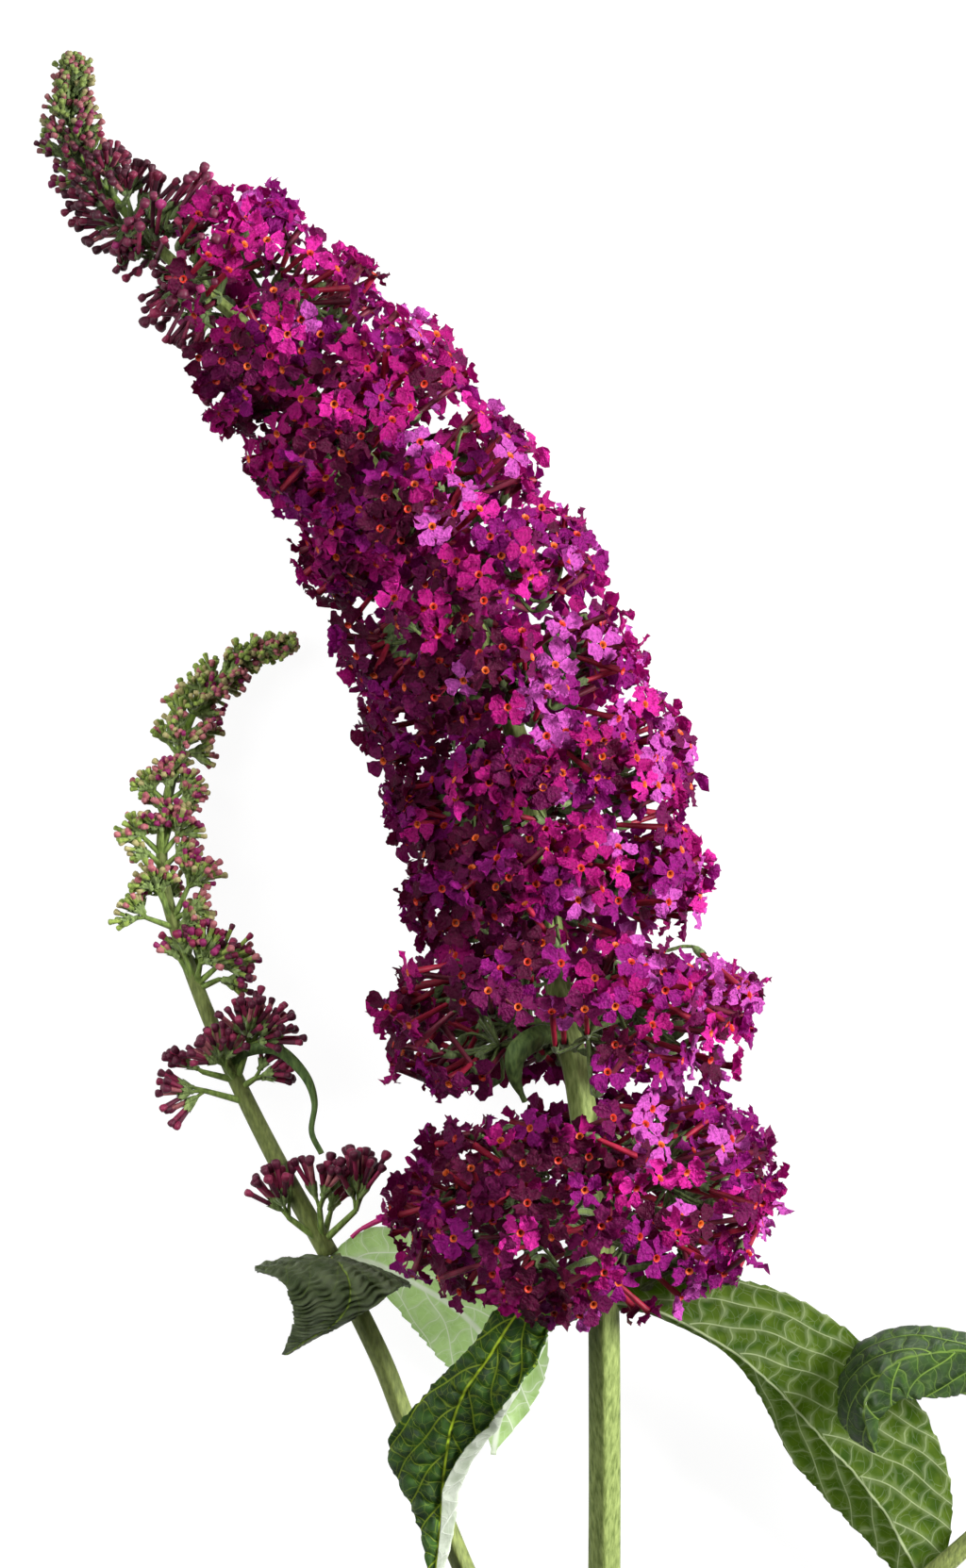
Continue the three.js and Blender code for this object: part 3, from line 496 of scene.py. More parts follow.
# darker copies of the greens: painted shade for the stalks deep in the heads and on the main tip
shaded_greens = [
    woolly_material("shaded_calyx_green", (0.036, 0.056, 0.014), (0.13, 0.19, 0.055), 0.3),
    woolly_material("shaded_stalk_green", (0.040, 0.066, 0.012), (0.13, 0.19, 0.045), 0.25),
]
CALYX, STALK = range(2)

# Skins of buds, from wine-red and long to green and closed, and of the twig that bears them
BUD_SKINS = [
    ("wine", (0.050, 0.004, 0.016), (0.130, 0.013, 0.042), dict(roughness=0.55)),
    ("crimson", (0.17, 0.012, 0.045), (0.34, 0.035, 0.10), dict(roughness=0.5, through=(0.5, 0.02, 0.08))),
    ("pink", (0.26, 0.045, 0.075), (0.46, 0.17, 0.17), dict(roughness=0.55)),
    ("green", (0.105, 0.165, 0.018), (0.30, 0.40, 0.070), dict(sheen=0.25)),
    ("magenta", (0.18, 0.010, 0.075), (0.34, 0.030, 0.15), dict(roughness=0.5, through=(0.7, 0.03, 0.25))),
    ("cream", (0.26, 0.22, 0.08), (0.42, 0.38, 0.17), dict(roughness=0.6)),
    ("twig", (0.12, 0.23, 0.015), (0.28, 0.42, 0.060), dict(sheen=0.2)),
]
BUD_WINE, BUD_CRIMSON, BUD_PINK, BUD_GREEN, BUD_MAGENTA, BUD_CREAM, TIP_STEM = range(7)


def bud_set(prefix, shade):
    """The skins of buds, their colours multiplied by shade; below 1 that is painted shade."""
    skins = []
    for name, low, high, look in BUD_SKINS:
        make = woolly_material if "sheen" in look else plain_material
        low, high = (tuple(shade * c for c in colour) for colour in (low, high))
        skins.append(make(prefix + name, low, high, **look))
    return skins


bud_materials = bud_set("bud_", 1.0)
# the main tip's buds take a copy at half brightness, as painted shade
shaded_tip_materials = bud_set("main_tip_shaded_", 0.5)
stem_material = woolly_material("stem_green", (0.066, 0.100, 0.008), (0.21, 0.265, 0.070), 0.35)
shoot_material = woolly_material("shoot_green", (0.075, 0.100, 0.016), (0.18, 0.22, 0.050), 0.35)

# Faces of blades. strengths are those of the rib, the side veins, the cross veins and the finest net.
LEAF_SKINS = {
    "leaf_front_top": dict(
        dark=(0.004, 0.024, 0.002), light=(0.032, 0.105, 0.003), vein=(0.50, 0.68, 0.02),
        through=(0.10, 0.28, 0.005), share=0.12, raised=-1.6, roughness=0.38, shine=0.35,
        strengths=(1, 0.5, 0.42, 0.2),
    ),
    "leaf_dusky_top": dict(
        dark=(0.058, 0.088, 0.026), light=(0.145, 0.185, 0.088), vein=(0.22, 0.34, 0.02),
        through=(0.08, 0.14, 0.02), share=0.10, raised=-1.6, roughness=0.34, strengths=(1, 0.2, 0.1, 0),
        rib_width=0.14,
    ),
    "leaf_curled_top": dict(
        dark=(0.006, 0.024, 0.002), light=(0.029, 0.068, 0.010), vein=(0.20, 0.33, 0.03),
        through=(0.08, 0.24, 0.005), share=0.12, raised=-1.8, roughness=0.27, shine=0.32,
        strengths=(0.45, 0.7, 0.5, 0.15), rib_width=0.14,
    ),
    "leaf_right_under": dict(
        dark=(0.016, 0.050, 0.001), light=(0.085, 0.135, 0.010), vein=(0.47, 0.54, 0.30),
        through=(0.11, 0.19, 0.006), share=0.50, raised=2.2, roughness=0.6, shine=0.22,
        strengths=(1, 0.7, 0.5, 0.15), felt=0.65,
    ),
    # a pale underside, its colours raised beyond its own pale green as painted light for the light from
    # behind
    "leaf_pale_under": dict(
        dark=(0.22, 0.36, 0.09), light=(0.56, 0.72, 0.36), vein=(0.98, 0.99, 0.92),
        through=(0.50, 0.74, 0.28), share=0.58, raised=2.2, roughness=0.65, strengths=(1, 0.9, 0.75, 0.2),
        rib_width=0.5, felt=0.7,
    ),
    "leaf_clear_top": dict(
        dark=(0.010, 0.040, 0.003), light=(0.045, 0.110, 0.008), vein=(0.38, 0.56, 0.04),
        through=(0.75, 0.92, 0.40), share=0.60, raised=-1.6, roughness=0.42, strengths=(1, 0.6, 0.5, 0.18),
    ),
    "leaf_thin_top": dict(
        dark=(0.020, 0.060, 0.006), light=(0.080, 0.160, 0.020), vein=(0.38, 0.56, 0.10),
        through=(0.97, 0.99, 0.92), share=0.88, raised=-1.6, roughness=0.42, strengths=(1, 0.6, 0.5, 0.18),
    ),
    "leaf_silver": dict(
        dark=(0.44, 0.51, 0.37), light=(0.68, 0.74, 0.61), vein=(0.82, 0.86, 0.76),
        through=(0.30, 0.42, 0.14), share=0.2, raised=1.6, roughness=0.65, strengths=(1, 0.7, 0.5, 0.2),
    ),
}
leaf_materials = {name: leaf_material(name, **skin) for name, skin in LEAF_SKINS.items()}
leaf_materials["bract"] = woolly_material("bract_green", (0.035, 0.075, 0.012), (0.12, 0.20, 0.045), 0.3)

# ---------------------------------------------------------------- stems


EDGE_POWER = 1.22                  # 1 gives flat faces with sharp edges, 2 a round stem
RING_SPACING = 1.4
MAIN_SIDES, SHOOT_SIDES = 32, 24   # points round a limb
MAIN_EDGE, SHOOT_EDGE = 0.12, 0.09   # how far its edges stand out, as shares of its radius


def squared_limb(name, points, radii, material, sides, edge):
    """A tapering four-edged stem with soft lengthwise ridges. radii are (distance, radius) pairs."""
    curve = Curve(points)
    rows = max(8, int(curve.length / RING_SPACING))
    distance = np.linspace(0, curve.length, rows)
    centre, _, right, up = curve.at(distance)
    angle = np.arange(sides) * 2 * math.pi / sides
    radius = np.interp(distance, *np.transpose(radii))[:, None]
    ridges = 0.012 * np.cos(16 * angle)[None] + 0.008 * np.sin(23 * angle[None] + distance[:, None] * 0.15)
    square = (np.abs(np.cos(angle)) ** EDGE_POWER + np.abs(np.sin(angle)) ** EDGE_POWER) ** (1 / EDGE_POWER)
    section = radius * ((1 + edge) / square[None] + ridges)
    rim = right[:, None] * np.cos(angle)[None, :, None] + up[:, None] * np.sin(angle)[None, :, None]
    vertices = (centre[:, None] + rim * section[..., None]).reshape(-1, 3)
    here = np.arange(sides)
    after = (here + 1) % sides
    last = (rows - 1) * sides
    lower_cap = np.stack([np.full(sides, len(vertices)), after, here], 1)
    upper_cap = np.stack([np.full(sides, len(vertices) + 1), last + here, last + after], 1)
    faces = np.concatenate([triangles(grid_faces(rows, sides, closed=True)), lower_cap, upper_cap])
    piece = mesh_object(name, np.concatenate([vertices, centre[[0, -1]]]), faces, [material])
    finish_piece(piece, [name])


def make_stems():
    squared_limb("main_stem", STEM_POINTS, STEM_RADII, stem_material, MAIN_SIDES, MAIN_EDGE)
    limbs = {
        "left_shoot_lower": (LEFT_LOWER_POINTS, SHOOT_FOOT, SHOOT_NODE),
        "left_shoot_upper": (LEFT_UPPER_POINTS, SHOOT_NODE, SHOOT_TOP),
        "right_shoot_lower": (RIGHT_LOWER_POINTS, SHOOT_FOOT, SHOOT_NODE),
        "right_shoot_upper": (RIGHT_UPPER_POINTS, SHOOT_NODE, SHOOT_TOP),
    }
    for name, (points, first, second) in limbs.items():
        radii = [(0, first), (Curve(points).length, second)]
        squared_limb(name, points, radii, shoot_material, SHOOT_SIDES, SHOOT_EDGE)


# ---------------------------------------------------------------- leaves

# A blade on a midrib curve, as in the solids. Each half has its width, its fold where it leaves the
# midrib, and the curl towards its margin, as one number or from base to tip. It may have its own
# outline, or a profile of (share of the length, width) pairs. A half that is turned over has the places
# of the fold too, as (share of the length, share of the width) pairs.
LEAVES = {
    "leaf_front": dict(
        midrib=[(1.9, -59.5, 31.5), (-5.7, -58.5, 38), (-14, -60.4, 40.5), (-21.3, -71, 37),
                (-26.2, -78.3, 32), (-28.9, -86, 27), (-30.5, -97, 20.5), (-31, -106, 17.5),
                (-32.3, -119, 15.5)],
        right=dict(width=12.5, fold=-6, curl=-32, profile=(
            (0, 2.6), (0.2, 3.4), (0.45, 4.4), (0.575, 8), (0.655, 12.6), (0.725, 12), (0.79, 6.8),
            (0.87, 3.6), (1, 0.5),
        )),
        left=dict(width=15, fold=2, curl=(25, 70, 165, 178, 178),
                  turned=((0.3, 0.85), (0.54, 0.78), (0.75, 0.5)),
                  profile=((0, 2.6), (0.2, 8), (0.36, 10.5), (0.54, 12.5), (0.7, 8.2), (0.88, 5.4), (1, 1))),
        stalk=2.6, faces=("leaf_front_top", "leaf_silver"),
    ),
    "leaf_right": dict(
        midrib=[(1.9, -60, 31.5), (12, -61.5, 31), (27.7, -69.9, 28.5), (38, -78.9, 26), (46.6, -88.4, 24),
                (53.6, -96.1, 22.5), (60.6, -106, 20), (70.3, -125.6, 14)],
        left=dict(width=19.5, fold=-2, curl=-8),
        right=dict(width=10, fold=-40, curl=0, widest=0.6, base=3, tip=1.1),
        outline=(0.56, 0.6, 1.2), stalk=2.2, roll=6, twist=-12, underside=True,
        faces=("leaf_right_under", "leaf_clear_top"),
    ),
    "leaf_left_dark": dict(
        midrib=[(-53.2, -51.5, 15), (-52.6, -51.8, 21), (-50.8, -53, 26.5), (-49.2, -56.5, 29.5),
                (-49.6, -61, 29), (-53, -65, 26), (-58, -68, 22), (-62.3, -71, 18)],
        left=dict(width=16.5, fold=-4, curl=-16, profile=(
            (0, 1.8), (0.05, 9), (0.16, 16.5), (0.3, 13), (0.41, 9.5), (0.53, 4), (0.67, 1.7), (0.84, 1.2),
            (1, 0.5),
        )),
        right=dict(width=16.5, fold=-4, curl=-10, profile=(
            (0, 1.8), (0.04, 13), (0.14, 15.5), (0.3, 16), (0.41, 13.8), (0.52, 11.5), (0.67, 7.2),
            (0.84, 3.4), (1, 0.5),
        )),
        stalk=1.8, side=(-1, 0.08, 0), wrinkle=0.42, pucker=0.3, cells=(230, 64),
        faces=("leaf_dusky_top", "leaf_silver"),
    ),
    "leaf_left_pale": dict(
        midrib=[(-53.2, -51.5, 15), (-45.5, -52.6, 9.5), (-38.8, -55.7, 6.5), (-27.3, -62.8, 4.5),
                (-20.5, -71, 3.6), (-19, -80, 3), (-20.3, -92, 2.4)],
        left=dict(width=13.5, fold=2, curl=4),
        right=dict(width=9.4, fold=3, curl=6, widest=0.55, base=1.5, tip=1.1),
        outline=(0.5, 0.8, 1.1), stalk=1.8, underside=True, faces=("leaf_pale_under", "leaf_thin_top"),
    ),
    "leaf_right_curled": dict(
        midrib=[(97, -73.5, 22), (87, -71.5, 30), (75, -69.8, 36.5), (65.7, -70.2, 39.5), (58.5, -73, 41),
                (55, -78, 41), (54, -83.5, 39.5), (56.5, -90, 37.5)],
        left=dict(width=9.3, fold=-10, curl=-20, widest=0.5, base=0.9, tip=1),
        right=dict(width=12.6, fold=-54, curl=-14, widest=0.7, base=0.9, tip=0.7),
        outline=(0.55, 0.9, 0.7), stalk=1.8, pucker=0.65, faces=("leaf_curled_top", "leaf_silver"),
    ),
    "leaf_right_far": dict(
        midrib=[(97, -73.5, 22), (105, -72, 20), (113, -76, 14), (118, -86, 7)],
        left=dict(width=8, fold=-15, curl=-20),
        right=dict(width=8, fold=-15, curl=-20),
        outline=(0.5, 1, 1.2), stalk=1.8, faces=("leaf_curled_top", "leaf_silver"), cells=(90, 50),
    ),
    "bract_front": dict(
        midrib=[(-5.2, -7, 37), (-10.5, -6.2, 44), (-15.5, -9.5, 46.5), (-16, -14.5, 45), (-14, -19.5, 42.5)],
        left=dict(width=2.6, fold=-20, curl=-20),
        right=dict(width=2.6, fold=-20, curl=-20),
        outline=(0.45, 1, 1), stalk=1, faces=("bract", "bract"), cells=(60, 16), slender=True,
    ),
    "bract_left": dict(
        midrib=[(-73.6, -13, 15), (-70, -9.8, 18.5), (-64, -9.4, 20), (-58.5, -14.4, 20), (-56.4, -20, 19.5),
                (-57, -26, 18.5), (-55, -30.5, 17.5)],
        left=dict(width=1.25, fold=-25, curl=-10, widest=0.3),
        right=dict(width=1.25, fold=-25, curl=-10, widest=0.3),
        outline=(0.4, 1, 1.2), stalk=0.8, faces=("bract", "bract"), cells=(70, 12), slender=True,
    ),
}
LEAF_CELLS = (150, 64)             # along and across a blade that doesn't state its own
WRINKLE_SPACING = 1.7              # between the folds that cross a wrinkled blade
WRINKLE_SLANT = 0.65               # how far they run on along the blade, for each millimetre across
RUNG_LEAN = 0.35                   # how far a cross vein runs back, for each millimetre that it runs out
OFFSET_OF_HALVES = 0.45            # of a side vein's spacing, by which the two halves' veins are apart
BLADE_THICKNESS = 0.55
BLADE_END = 0.5                    # a blade's least width
BLADE_STEPS = 24                   # steps from the midrib by which a half's curl is added up
TURNED_SPAN = 0.26                 # share of a half's width that the fold of a turned margin takes
DOUBLED_FADE = 0.75                # share of its relief that a half loses where it lies doubled
TOOTH_SPACING = 3.4
TOOTH_HEIGHT = 0.5


def blade_width(leaf, half, share):
    if "profile" in half:
        shares, widths = np.transpose(half["profile"])
        smooth = [np.interp(share + step, shares, widths) for step in (-0.03, -0.01, 0.01, 0.03)]
        return np.maximum(np.mean(smooth, 0), BLADE_END)
    widest, base, tip = leaf["outline"]
    widest, base, tip = half.get("widest", widest), half.get("base", base), half.get("tip", tip)
    power = math.log(0.5) / math.log(widest)
    exponent = np.where(share < widest, base, tip)
    swell = np.maximum(np.sin(np.pi * share**power), 0) ** exponent
    return np.maximum(np.maximum(half["width"] * swell, leaf["stalk"] * (1 - share) ** 3), BLADE_END)


def blade_angles(half, share, reach):
    """Angle of a half from its plane at shares of the way to its margin, for each share of its length."""
    curls = np.broadcast_to(half["curl"], 5)
    curl = np.interp(share, np.linspace(0, 1, 5), curls)[:, None]
    if "turned" not in half:
        return np.radians(half["fold"] + curl * reach)
    fold = np.interp(share, *np.transpose(half["turned"]))[:, None]
    t = np.clip((reach - fold) / TURNED_SPAN + 0.5, 0, 1)
    return np.radians(half["fold"] + curl * t * t * (3 - 2 * t))


def relief_share(half, share, reach, width):
    """How much of its relief a half shows: little where it is narrow, and least where it lies doubled."""
    narrow = np.minimum(1, width / 5)
    if "turned" not in half:
        return narrow
    folded = np.interp(share, (0.34, 0.44), (0, 1))
    doubled = np.clip((reach - 2 * np.interp(share, *np.transpose(half["turned"])) + 1.15) / 0.2, 0, 1)
    return narrow * (1 - DOUBLED_FADE * folded * doubled)


def vein_places(distance, offset):
    """Places in the net of veins: whole numbers of band are side veins, and those of rung cross veins."""
    x = np.abs(offset)
    band = (distance - VEIN_SLOPE[0] * x - VEIN_SLOPE[1] * x**2) / VEIN_SPACING
    band = band + 0.06 * np.sin(distance * 0.5 + 2 * np.sign(offset))
    band = band + np.where(offset < 0, OFFSET_OF_HALVES, 0)
    rung = (distance + RUNG_LEAN * x) / RUNG_SPACING + 0.12 * np.sin(offset * 0.9 + distance * 0.7)
    return band, rung + 0.06 * np.sin(distance * 1.2 - offset * 1.1)


def to_whole(value):
    return np.abs((value + 0.5) % 1 - 0.5)


def blade_relief(leaf, band, rung, offset):
    """Height of the blade's face above its middle surface: cells stand up on top, veins below."""
    side = to_whole(band) * VEIN_SPACING * SIDE_SLANT
    cross = to_whole(rung + RUNG_STEP * np.floor(band)) * RUNG_SPACING
    pillow = (1 - 0.95 * np.exp(-((side / 1.0) ** 2))) * (1 - 0.7 * np.exp(-((cross / 0.8) ** 2)))
    groove = np.exp(-((offset / 0.9) ** 2))
    broken = 0.6 + 0.4 * np.sin(offset * 1.1 + rung * 3.1)
    slanted = rung * RUNG_SPACING - RUNG_LEAN * np.abs(offset) - WRINKLE_SLANT * offset
    wrinkle = leaf.get("wrinkle", 0) * broken * np.sin(2 * np.pi * slanted / WRINKLE_SPACING)
    height = leaf.get("pucker", 1.0) * pillow - 0.5 * groove + wrinkle
    return -0.55 * height if leaf.get("underside") else height


def blade_axes(leaf, curve, share):
    centre, along, right, up = curve.at(share * curve.length)
    if "side" in leaf:
        right = np.broadcast_to(unit(np.array(leaf["side"], float)), along.shape)
        up = unit(np.cross(right, along))
    roll = np.radians(leaf.get("roll", 0) + leaf.get("twist", 0) * share)
    return centre, rotated(right, along, roll), rotated(up, along, roll)


def blade_line(leaf, axes, share, distance, t):
    """The blade's middle surface along one line, at t from -1 to 1 across it.

    Gives its points and normals, its distance from the midrib, and how much relief it has.
    """
    centre, right, up = axes
    side = 1 if t >= 0 else -1
    half = leaf["right"] if t >= 0 else leaf["left"]
    slender = leaf.get("slender", False)
    width = blade_width(leaf, half, share)
    tooth = (distance / TOOTH_SPACING + 0.3 * np.sin(share * 23 + half["width"])) % 1
    teeth = 0 if slender else TOOTH_HEIGHT * (1 - tooth) * np.minimum(1, width / 6) * abs(t) ** 8
    reach = width * abs(t) + teeth
    outward = right * side
    steps = (np.arange(BLADE_STEPS) + 0.5) / BLADE_STEPS
    angle = blade_angles(half, share, steps * abs(t))
    swell = 0 if slender else 0.05 * abs(t) ** 3 * np.sin(distance / 4.6 + 2.1 * half["width"])
    flat = (reach / BLADE_STEPS)[:, None]
    out, rise = np.cos(angle).sum(1)[:, None], np.sin(angle).sum(1)[:, None]
    points = centre + outward * flat * out + up * flat * rise + up * np.reshape(swell * width, (-1, 1))
    normals = up * np.cos(angle[:, -1:]) - outward * np.sin(angle[:, -1:])
    return points, normals, reach * side, relief_share(half, share, abs(t), width)


def make_leaf(name, leaf):
    """A closed blade with both of its faces, toothed margins, side veins and a puckered net."""
    rows, columns = leaf.get("cells", LEAF_CELLS)
    curve = Curve(leaf["midrib"])
    share = np.linspace(0, 1, rows + 1)
    distance = share * curve.length
    axes = blade_axes(leaf, curve, share)
    lines = [blade_line(leaf, axes, share, distance, t) for t in np.linspace(-1, 1, columns + 1)]
    points, normals, offsets, fade = (np.stack(part, 1) for part in zip(*lines))
    shape = offsets.shape
    if leaf.get("slender"):
        band, rung, height = np.full(shape, 0.5), np.full(shape, 0.5), np.zeros(shape)
    else:
        band, rung = vein_places(np.broadcast_to(distance[:, None], shape), offsets)
        height = blade_relief(leaf, band, rung, offsets)
    lifted = points + normals * (height * fade)[..., None]
    half_thick = BLADE_THICKNESS / 2
    faces_apart = [lifted + normals * half_thick, lifted - normals * half_thick]
    vertices = np.concatenate([face.reshape(-1, 3) for face in faces_apart])
    quads = grid_faces(*shape)
    border = rim_quads(*shape, offsets.size)
    faces = np.concatenate([quads, quads[:, ::-1] + offsets.size, border])
    kinds = np.repeat([0, 1, 0], [len(quads), len(quads), len(border)])
    values = {key: np.tile(a.ravel(), 2) for key, a in (("band", band), ("rung", rung), ("rib", offsets))}
    materials = [leaf_materials[key] for key in leaf["faces"]]
    piece = mesh_object(name, vertices, faces, materials, kinds, values)
    finish_piece(piece, [name])
    return points.reshape(-1, 3)


def rim_quads(rows, columns, count):
    """Quads that join the margins of two grids, the second one's points counted on from count."""
    loop = [(0, c) for c in range(columns)]
    loop += [(r, columns - 1) for r in range(1, rows)]
    loop += [(rows - 1, c) for c in range(columns - 2, -1, -1)]
    loop += [(r, 0) for r in range(rows - 2, 0, -1)]
    index = np.array([r * columns + c for r, c in loop])
    after = np.roll(index, -1)
    return np.stack([after, index, index + count, after + count], 1)


# ---------------------------------------------------------------- flowers

# Whorls that share a piece, counted from 0 at the lowest
HEIGHTS = {"low": (0,), "lower": (1, 2), "middle": (3, 4, 5), "high": (6, 7, 8, 9, 10)}
LAYERS = [(100, OUTER_CELLS), (200, INNER_CELLS)]   # seed and cells of their flowers, from outside in
HEAD_SEED, SEED_STEP = 1000, 10    # of the places of the flowers in the lowest head, and from whorl to whorl
PARTED_BELOW = -0.4                # a whorl's parting is below this level, from -1 to 1
TUBE_KINDS = [(CRIMSON, ORANGE), (CRIMSON, RED), (WINE, RED), (WINE, ORANGE), (CRIMSON, RED)]
LONG_BUD_KINDS = [
    (BUD_WINE, BUD_WINE), (BUD_WINE, BUD_CRIMSON), (BUD_CRIMSON, BUD_WINE), (BUD_MAGENTA, BUD_CRIMSON),
]
# The mouth of a calyx, how far its stalk runs straight on to it, and the stalk's radii
OPEN_STALK = (0.95, 1.6, (0.42, 0.36))
CLOSED_STALK = (0.85, 1.2, (0.4, 0.34))


def crinkled_lobe(rng, cells, angle, opened):
    """One lobe from the throat out: bent, cupped, twisted, pleated and ruffled at its margin."""
    rows, columns = cells
    s = np.linspace(0, 1, rows + 1)[:, None]
    t = np.linspace(-1, 1, columns + 1)[None]
    shape = (rows + 1, columns + 1)
    length = (LOBE_LENGTH - THROAT_RADIUS) * rng.uniform(0.84, 1.04)
    half_width = np.interp(s[:, 0], LOBE_SHARES, LOBE_HALF_WIDTHS)[:, None]
    half_width = half_width * rng.uniform(0.85, 1.12)
    bend = rng.uniform(-0.7, 0.55) if opened else rng.uniform(0.9, 1.5)
    if rng.rand() < 0.2:
        bend = rng.uniform(-1.4, -0.9)
    cup, twist = rng.uniform(-1.6, 1.4), rng.uniform(-0.5, 0.5)
    edge = np.maximum(np.abs(t) ** 3, s**4)
    crease = -0.35 * np.exp(-((t / 0.3) ** 2)) * np.sin(np.pi * s)
    lift = cup * np.abs(t) ** 1.5 * s**1.3 + 0.3 * np.sin(5.2 * t + rng.uniform(0, 6)) * s + crease
    lift = lift + 0.5 * rng.uniform(-1, 1, shape) * edge + 0.27 * rng.uniform(-1, 1, shape) * s
    wide = half_width * t * (1 + 0.16 * rng.uniform(-1, 1, shape) * edge)
    run = s + 0.11 * rng.uniform(-1, 1, shape) * s**3 - 0.10 * t**2 * s**4
    turn = bend * run
    lift = lift + wide * np.sin(twist * s)
    wide = wide * np.cos(twist * s)
    radial = THROAT_RADIUS * 0.9 + length * np.sin(turn) / bend - np.sin(turn) * lift
    height = length * (1 - np.cos(turn)) / bend + np.cos(turn) * lift
    x = radial * math.cos(angle) - wide * math.sin(angle)
    y = radial * math.sin(angle) + wide * math.cos(angle)
    return np.stack([x, y, height], -1).reshape(-1, 3), triangles(grid_faces(*shape))


def lobed_flower(rng, cells):
    """Four lobes round a throat, facing +Z, as (vertices, triangles, kinds)."""
    opened = rng.rand() > HALF_OPEN
    lobes = [crinkled_lobe(rng, cells, lobe * math.pi / 2 + rng.normal(0, 0.12), opened) for lobe in range(4)]
    return joined_shape(*[(*lobe, 0) for lobe in lobes])


def joined_shape(*parts):
    whole = Bag()
    for vertices, faces, kind in parts:
        whole.add(vertices, faces, kind)
    return np.concatenate(whole.vertices), np.concatenate(whole.faces), np.concatenate(whole.kinds)


def flower_tube(length, tube_kind, eye_kind):
    """The tube below a throat, the bright ring round it, and a dark disc across the throat as painted shade
    of its depth.
    """
    wall = revolved([(-length, 0.48), (-length * 0.55, 0.58), (-1.6, 0.7), (-0.12, THROAT_RADIUS * 1.05)], 7)
    ring = revolved([(0.02, THROAT_RADIUS * 1.06), (-0.10, 0.56), (-0.9, 0.40)], 8)
    # a dark disc across the throat a little below the ring: painted shade of the deep tube
    shade_disc = revolved([(-0.8, 0.42), (-0.8, 0.001)], 8)
    return joined_shape((*wall, tube_kind), (*ring, eye_kind), (*shade_disc, THROAT_SHADE))


def calyx_shape(length, radius):
    """A small toothed cup that holds a tube, its foot at the origin and its mouth along +Z."""
    vertices, faces = revolved([(0, 0.35), (length * 0.3, radius * 0.85), (length, radius)], 8)
    mouth = vertices[-8:]
    mouth[::2, 2] -= 0.8
    return vertices, faces, np.full(len(faces), CALYX)


def club_bud(length, tube_radius, knob_radius, knob_kind, tube_kind):
    """A closed flower with its tip at the origin and its root down -Z: a tube and a flat-topped knob."""
    k = knob_radius
    neck = (-2.0 * k, tube_radius * 1.15)
    wall = revolved([(-length, tube_radius), neck], 6)
    dome = [(-1.45 * k, k * 0.84), (-0.75 * k, k), (-0.25 * k, k * 0.86), (-0.04 * k, k * 0.45), (0, 0.02)]
    return joined_shape((*wall, tube_kind), (*revolved([neck, *dome], 8, 0.10), knob_kind))


def turn_to(axis, sideways, spin):
    """Rotation that takes +Z to axis, turned about it from sideways by spin."""
    over = unit(np.cross(axis, sideways))
    forward = np.cross(over, axis)
    c, s = math.cos(spin), math.sin(spin)
    return np.stack([forward * c + over * s, over * c - forward * s, axis], 1)


def reach_at(reach, lean, direction, axes):
    """Reach of the spike in a direction, held back where the branch lies on its bed."""
    leaned = reach * (1 + lean * float(direction @ axes[2][0]))
    down = -direction[2]
    if down <= 0:
        return leaned
    drop = LOBE_LENGTH * math.sqrt(max(0, 1 - down**2)) + 0.6
    return min(leaned, (axes[0][0][2] - drop) / down)


def head_sites(whorl, azimuth, seed, pitch, inset, hubs):
    """Places of a head's flowers: rows round its half of the stem, every second row half a place on."""
    rng = np.random.RandomState(seed)
    height = whorl["end"] - whorl["start"]
    shoulder = whorl.get("shoulder", SHOULDER)
    widest = math.atan(whorl["reach"] / LOBE_LENGTH)
    rows = max(1, round(height / pitch))
    bare = whorl.get("parting", (0, 0))
    sites = []
    for row in range(rows):
        level = 2 * row / (rows - 1) - 1 if rows > 1 else 0
        reach = whorl["reach"] * (1 - shoulder[level > 0] * level**2) - inset
        count = round(2 * widest * reach / pitch)
        for i in range(count):
            place = (i + 0.25 + 0.5 * (row % 2) + rng.uniform(-0.3, 0.3)) / count
            degrees = azimuth + math.degrees(widest) * (2 * place - 1)
            if level < PARTED_BELOW and bare[0] < degrees % 360 < bare[1]:
                continue
            offset = level * (height / 2 - WHORL_MARGIN) + rng.uniform(-0.28, 0.28) * pitch
            sites.append(flower_site(whorl, hubs, degrees, offset, reach, rng))
    return sites


def flower_site(whorl, hubs, degrees, offset, reach, rng):
    """Where a flower stands and faces, drawn aside to its fork, and whether it is still closed."""
    offset -= whorl.get("slant", 0) * math.cos(math.radians(degrees))
    distance = (whorl["start"] + whorl["end"]) / 2 + offset
    axes = STEM.at(distance)
    direction = across(axes, degrees)
    sink = rng.uniform(0, 1) ** 1.7 * FLOWER_SINK
    spot = axes[0][0] + direction * (reach_at(reach, whorl["lean"], direction, axes) - sink)
    index = nearest_hub(hubs, spot)
    aside = hubs[index] - spot
    aside = aside - direction * float(aside @ direction)
    spot = spot + aside * CLUMPING - direction * HUB_SINK[index % len(HUB_SINK)]
    blend = min(0.75, 0.42 + 0.35 * max(whorl.get("shoulder", SHOULDER)))
    from_hub = unit(spot - hubs[index])
    axis = unit(unit(direction * (1 - blend) + from_hub * blend) + rng.normal(0, 0.3, 3) * FLOWER_TILT)
    if axis @ direction < 0.35:
        axis = unit(axis + direction * 0.6)
    stage = (distance - SUNNY_LEAD * float(direction @ axes[2][0]) - OPENED_UP_TO) / OPENING
    return dict(
        spot=spot, axis=axis, along=axes[1][0], direction=direction,
        out=float((spot - axes[0][0]) @ direction), spin=rng.uniform(0, 6.3), closed=rng.rand() < stage,
    )


def nearest_hub(hubs, spot):
    return int(np.argmin(np.linalg.norm(hubs - spot, axis=1)))


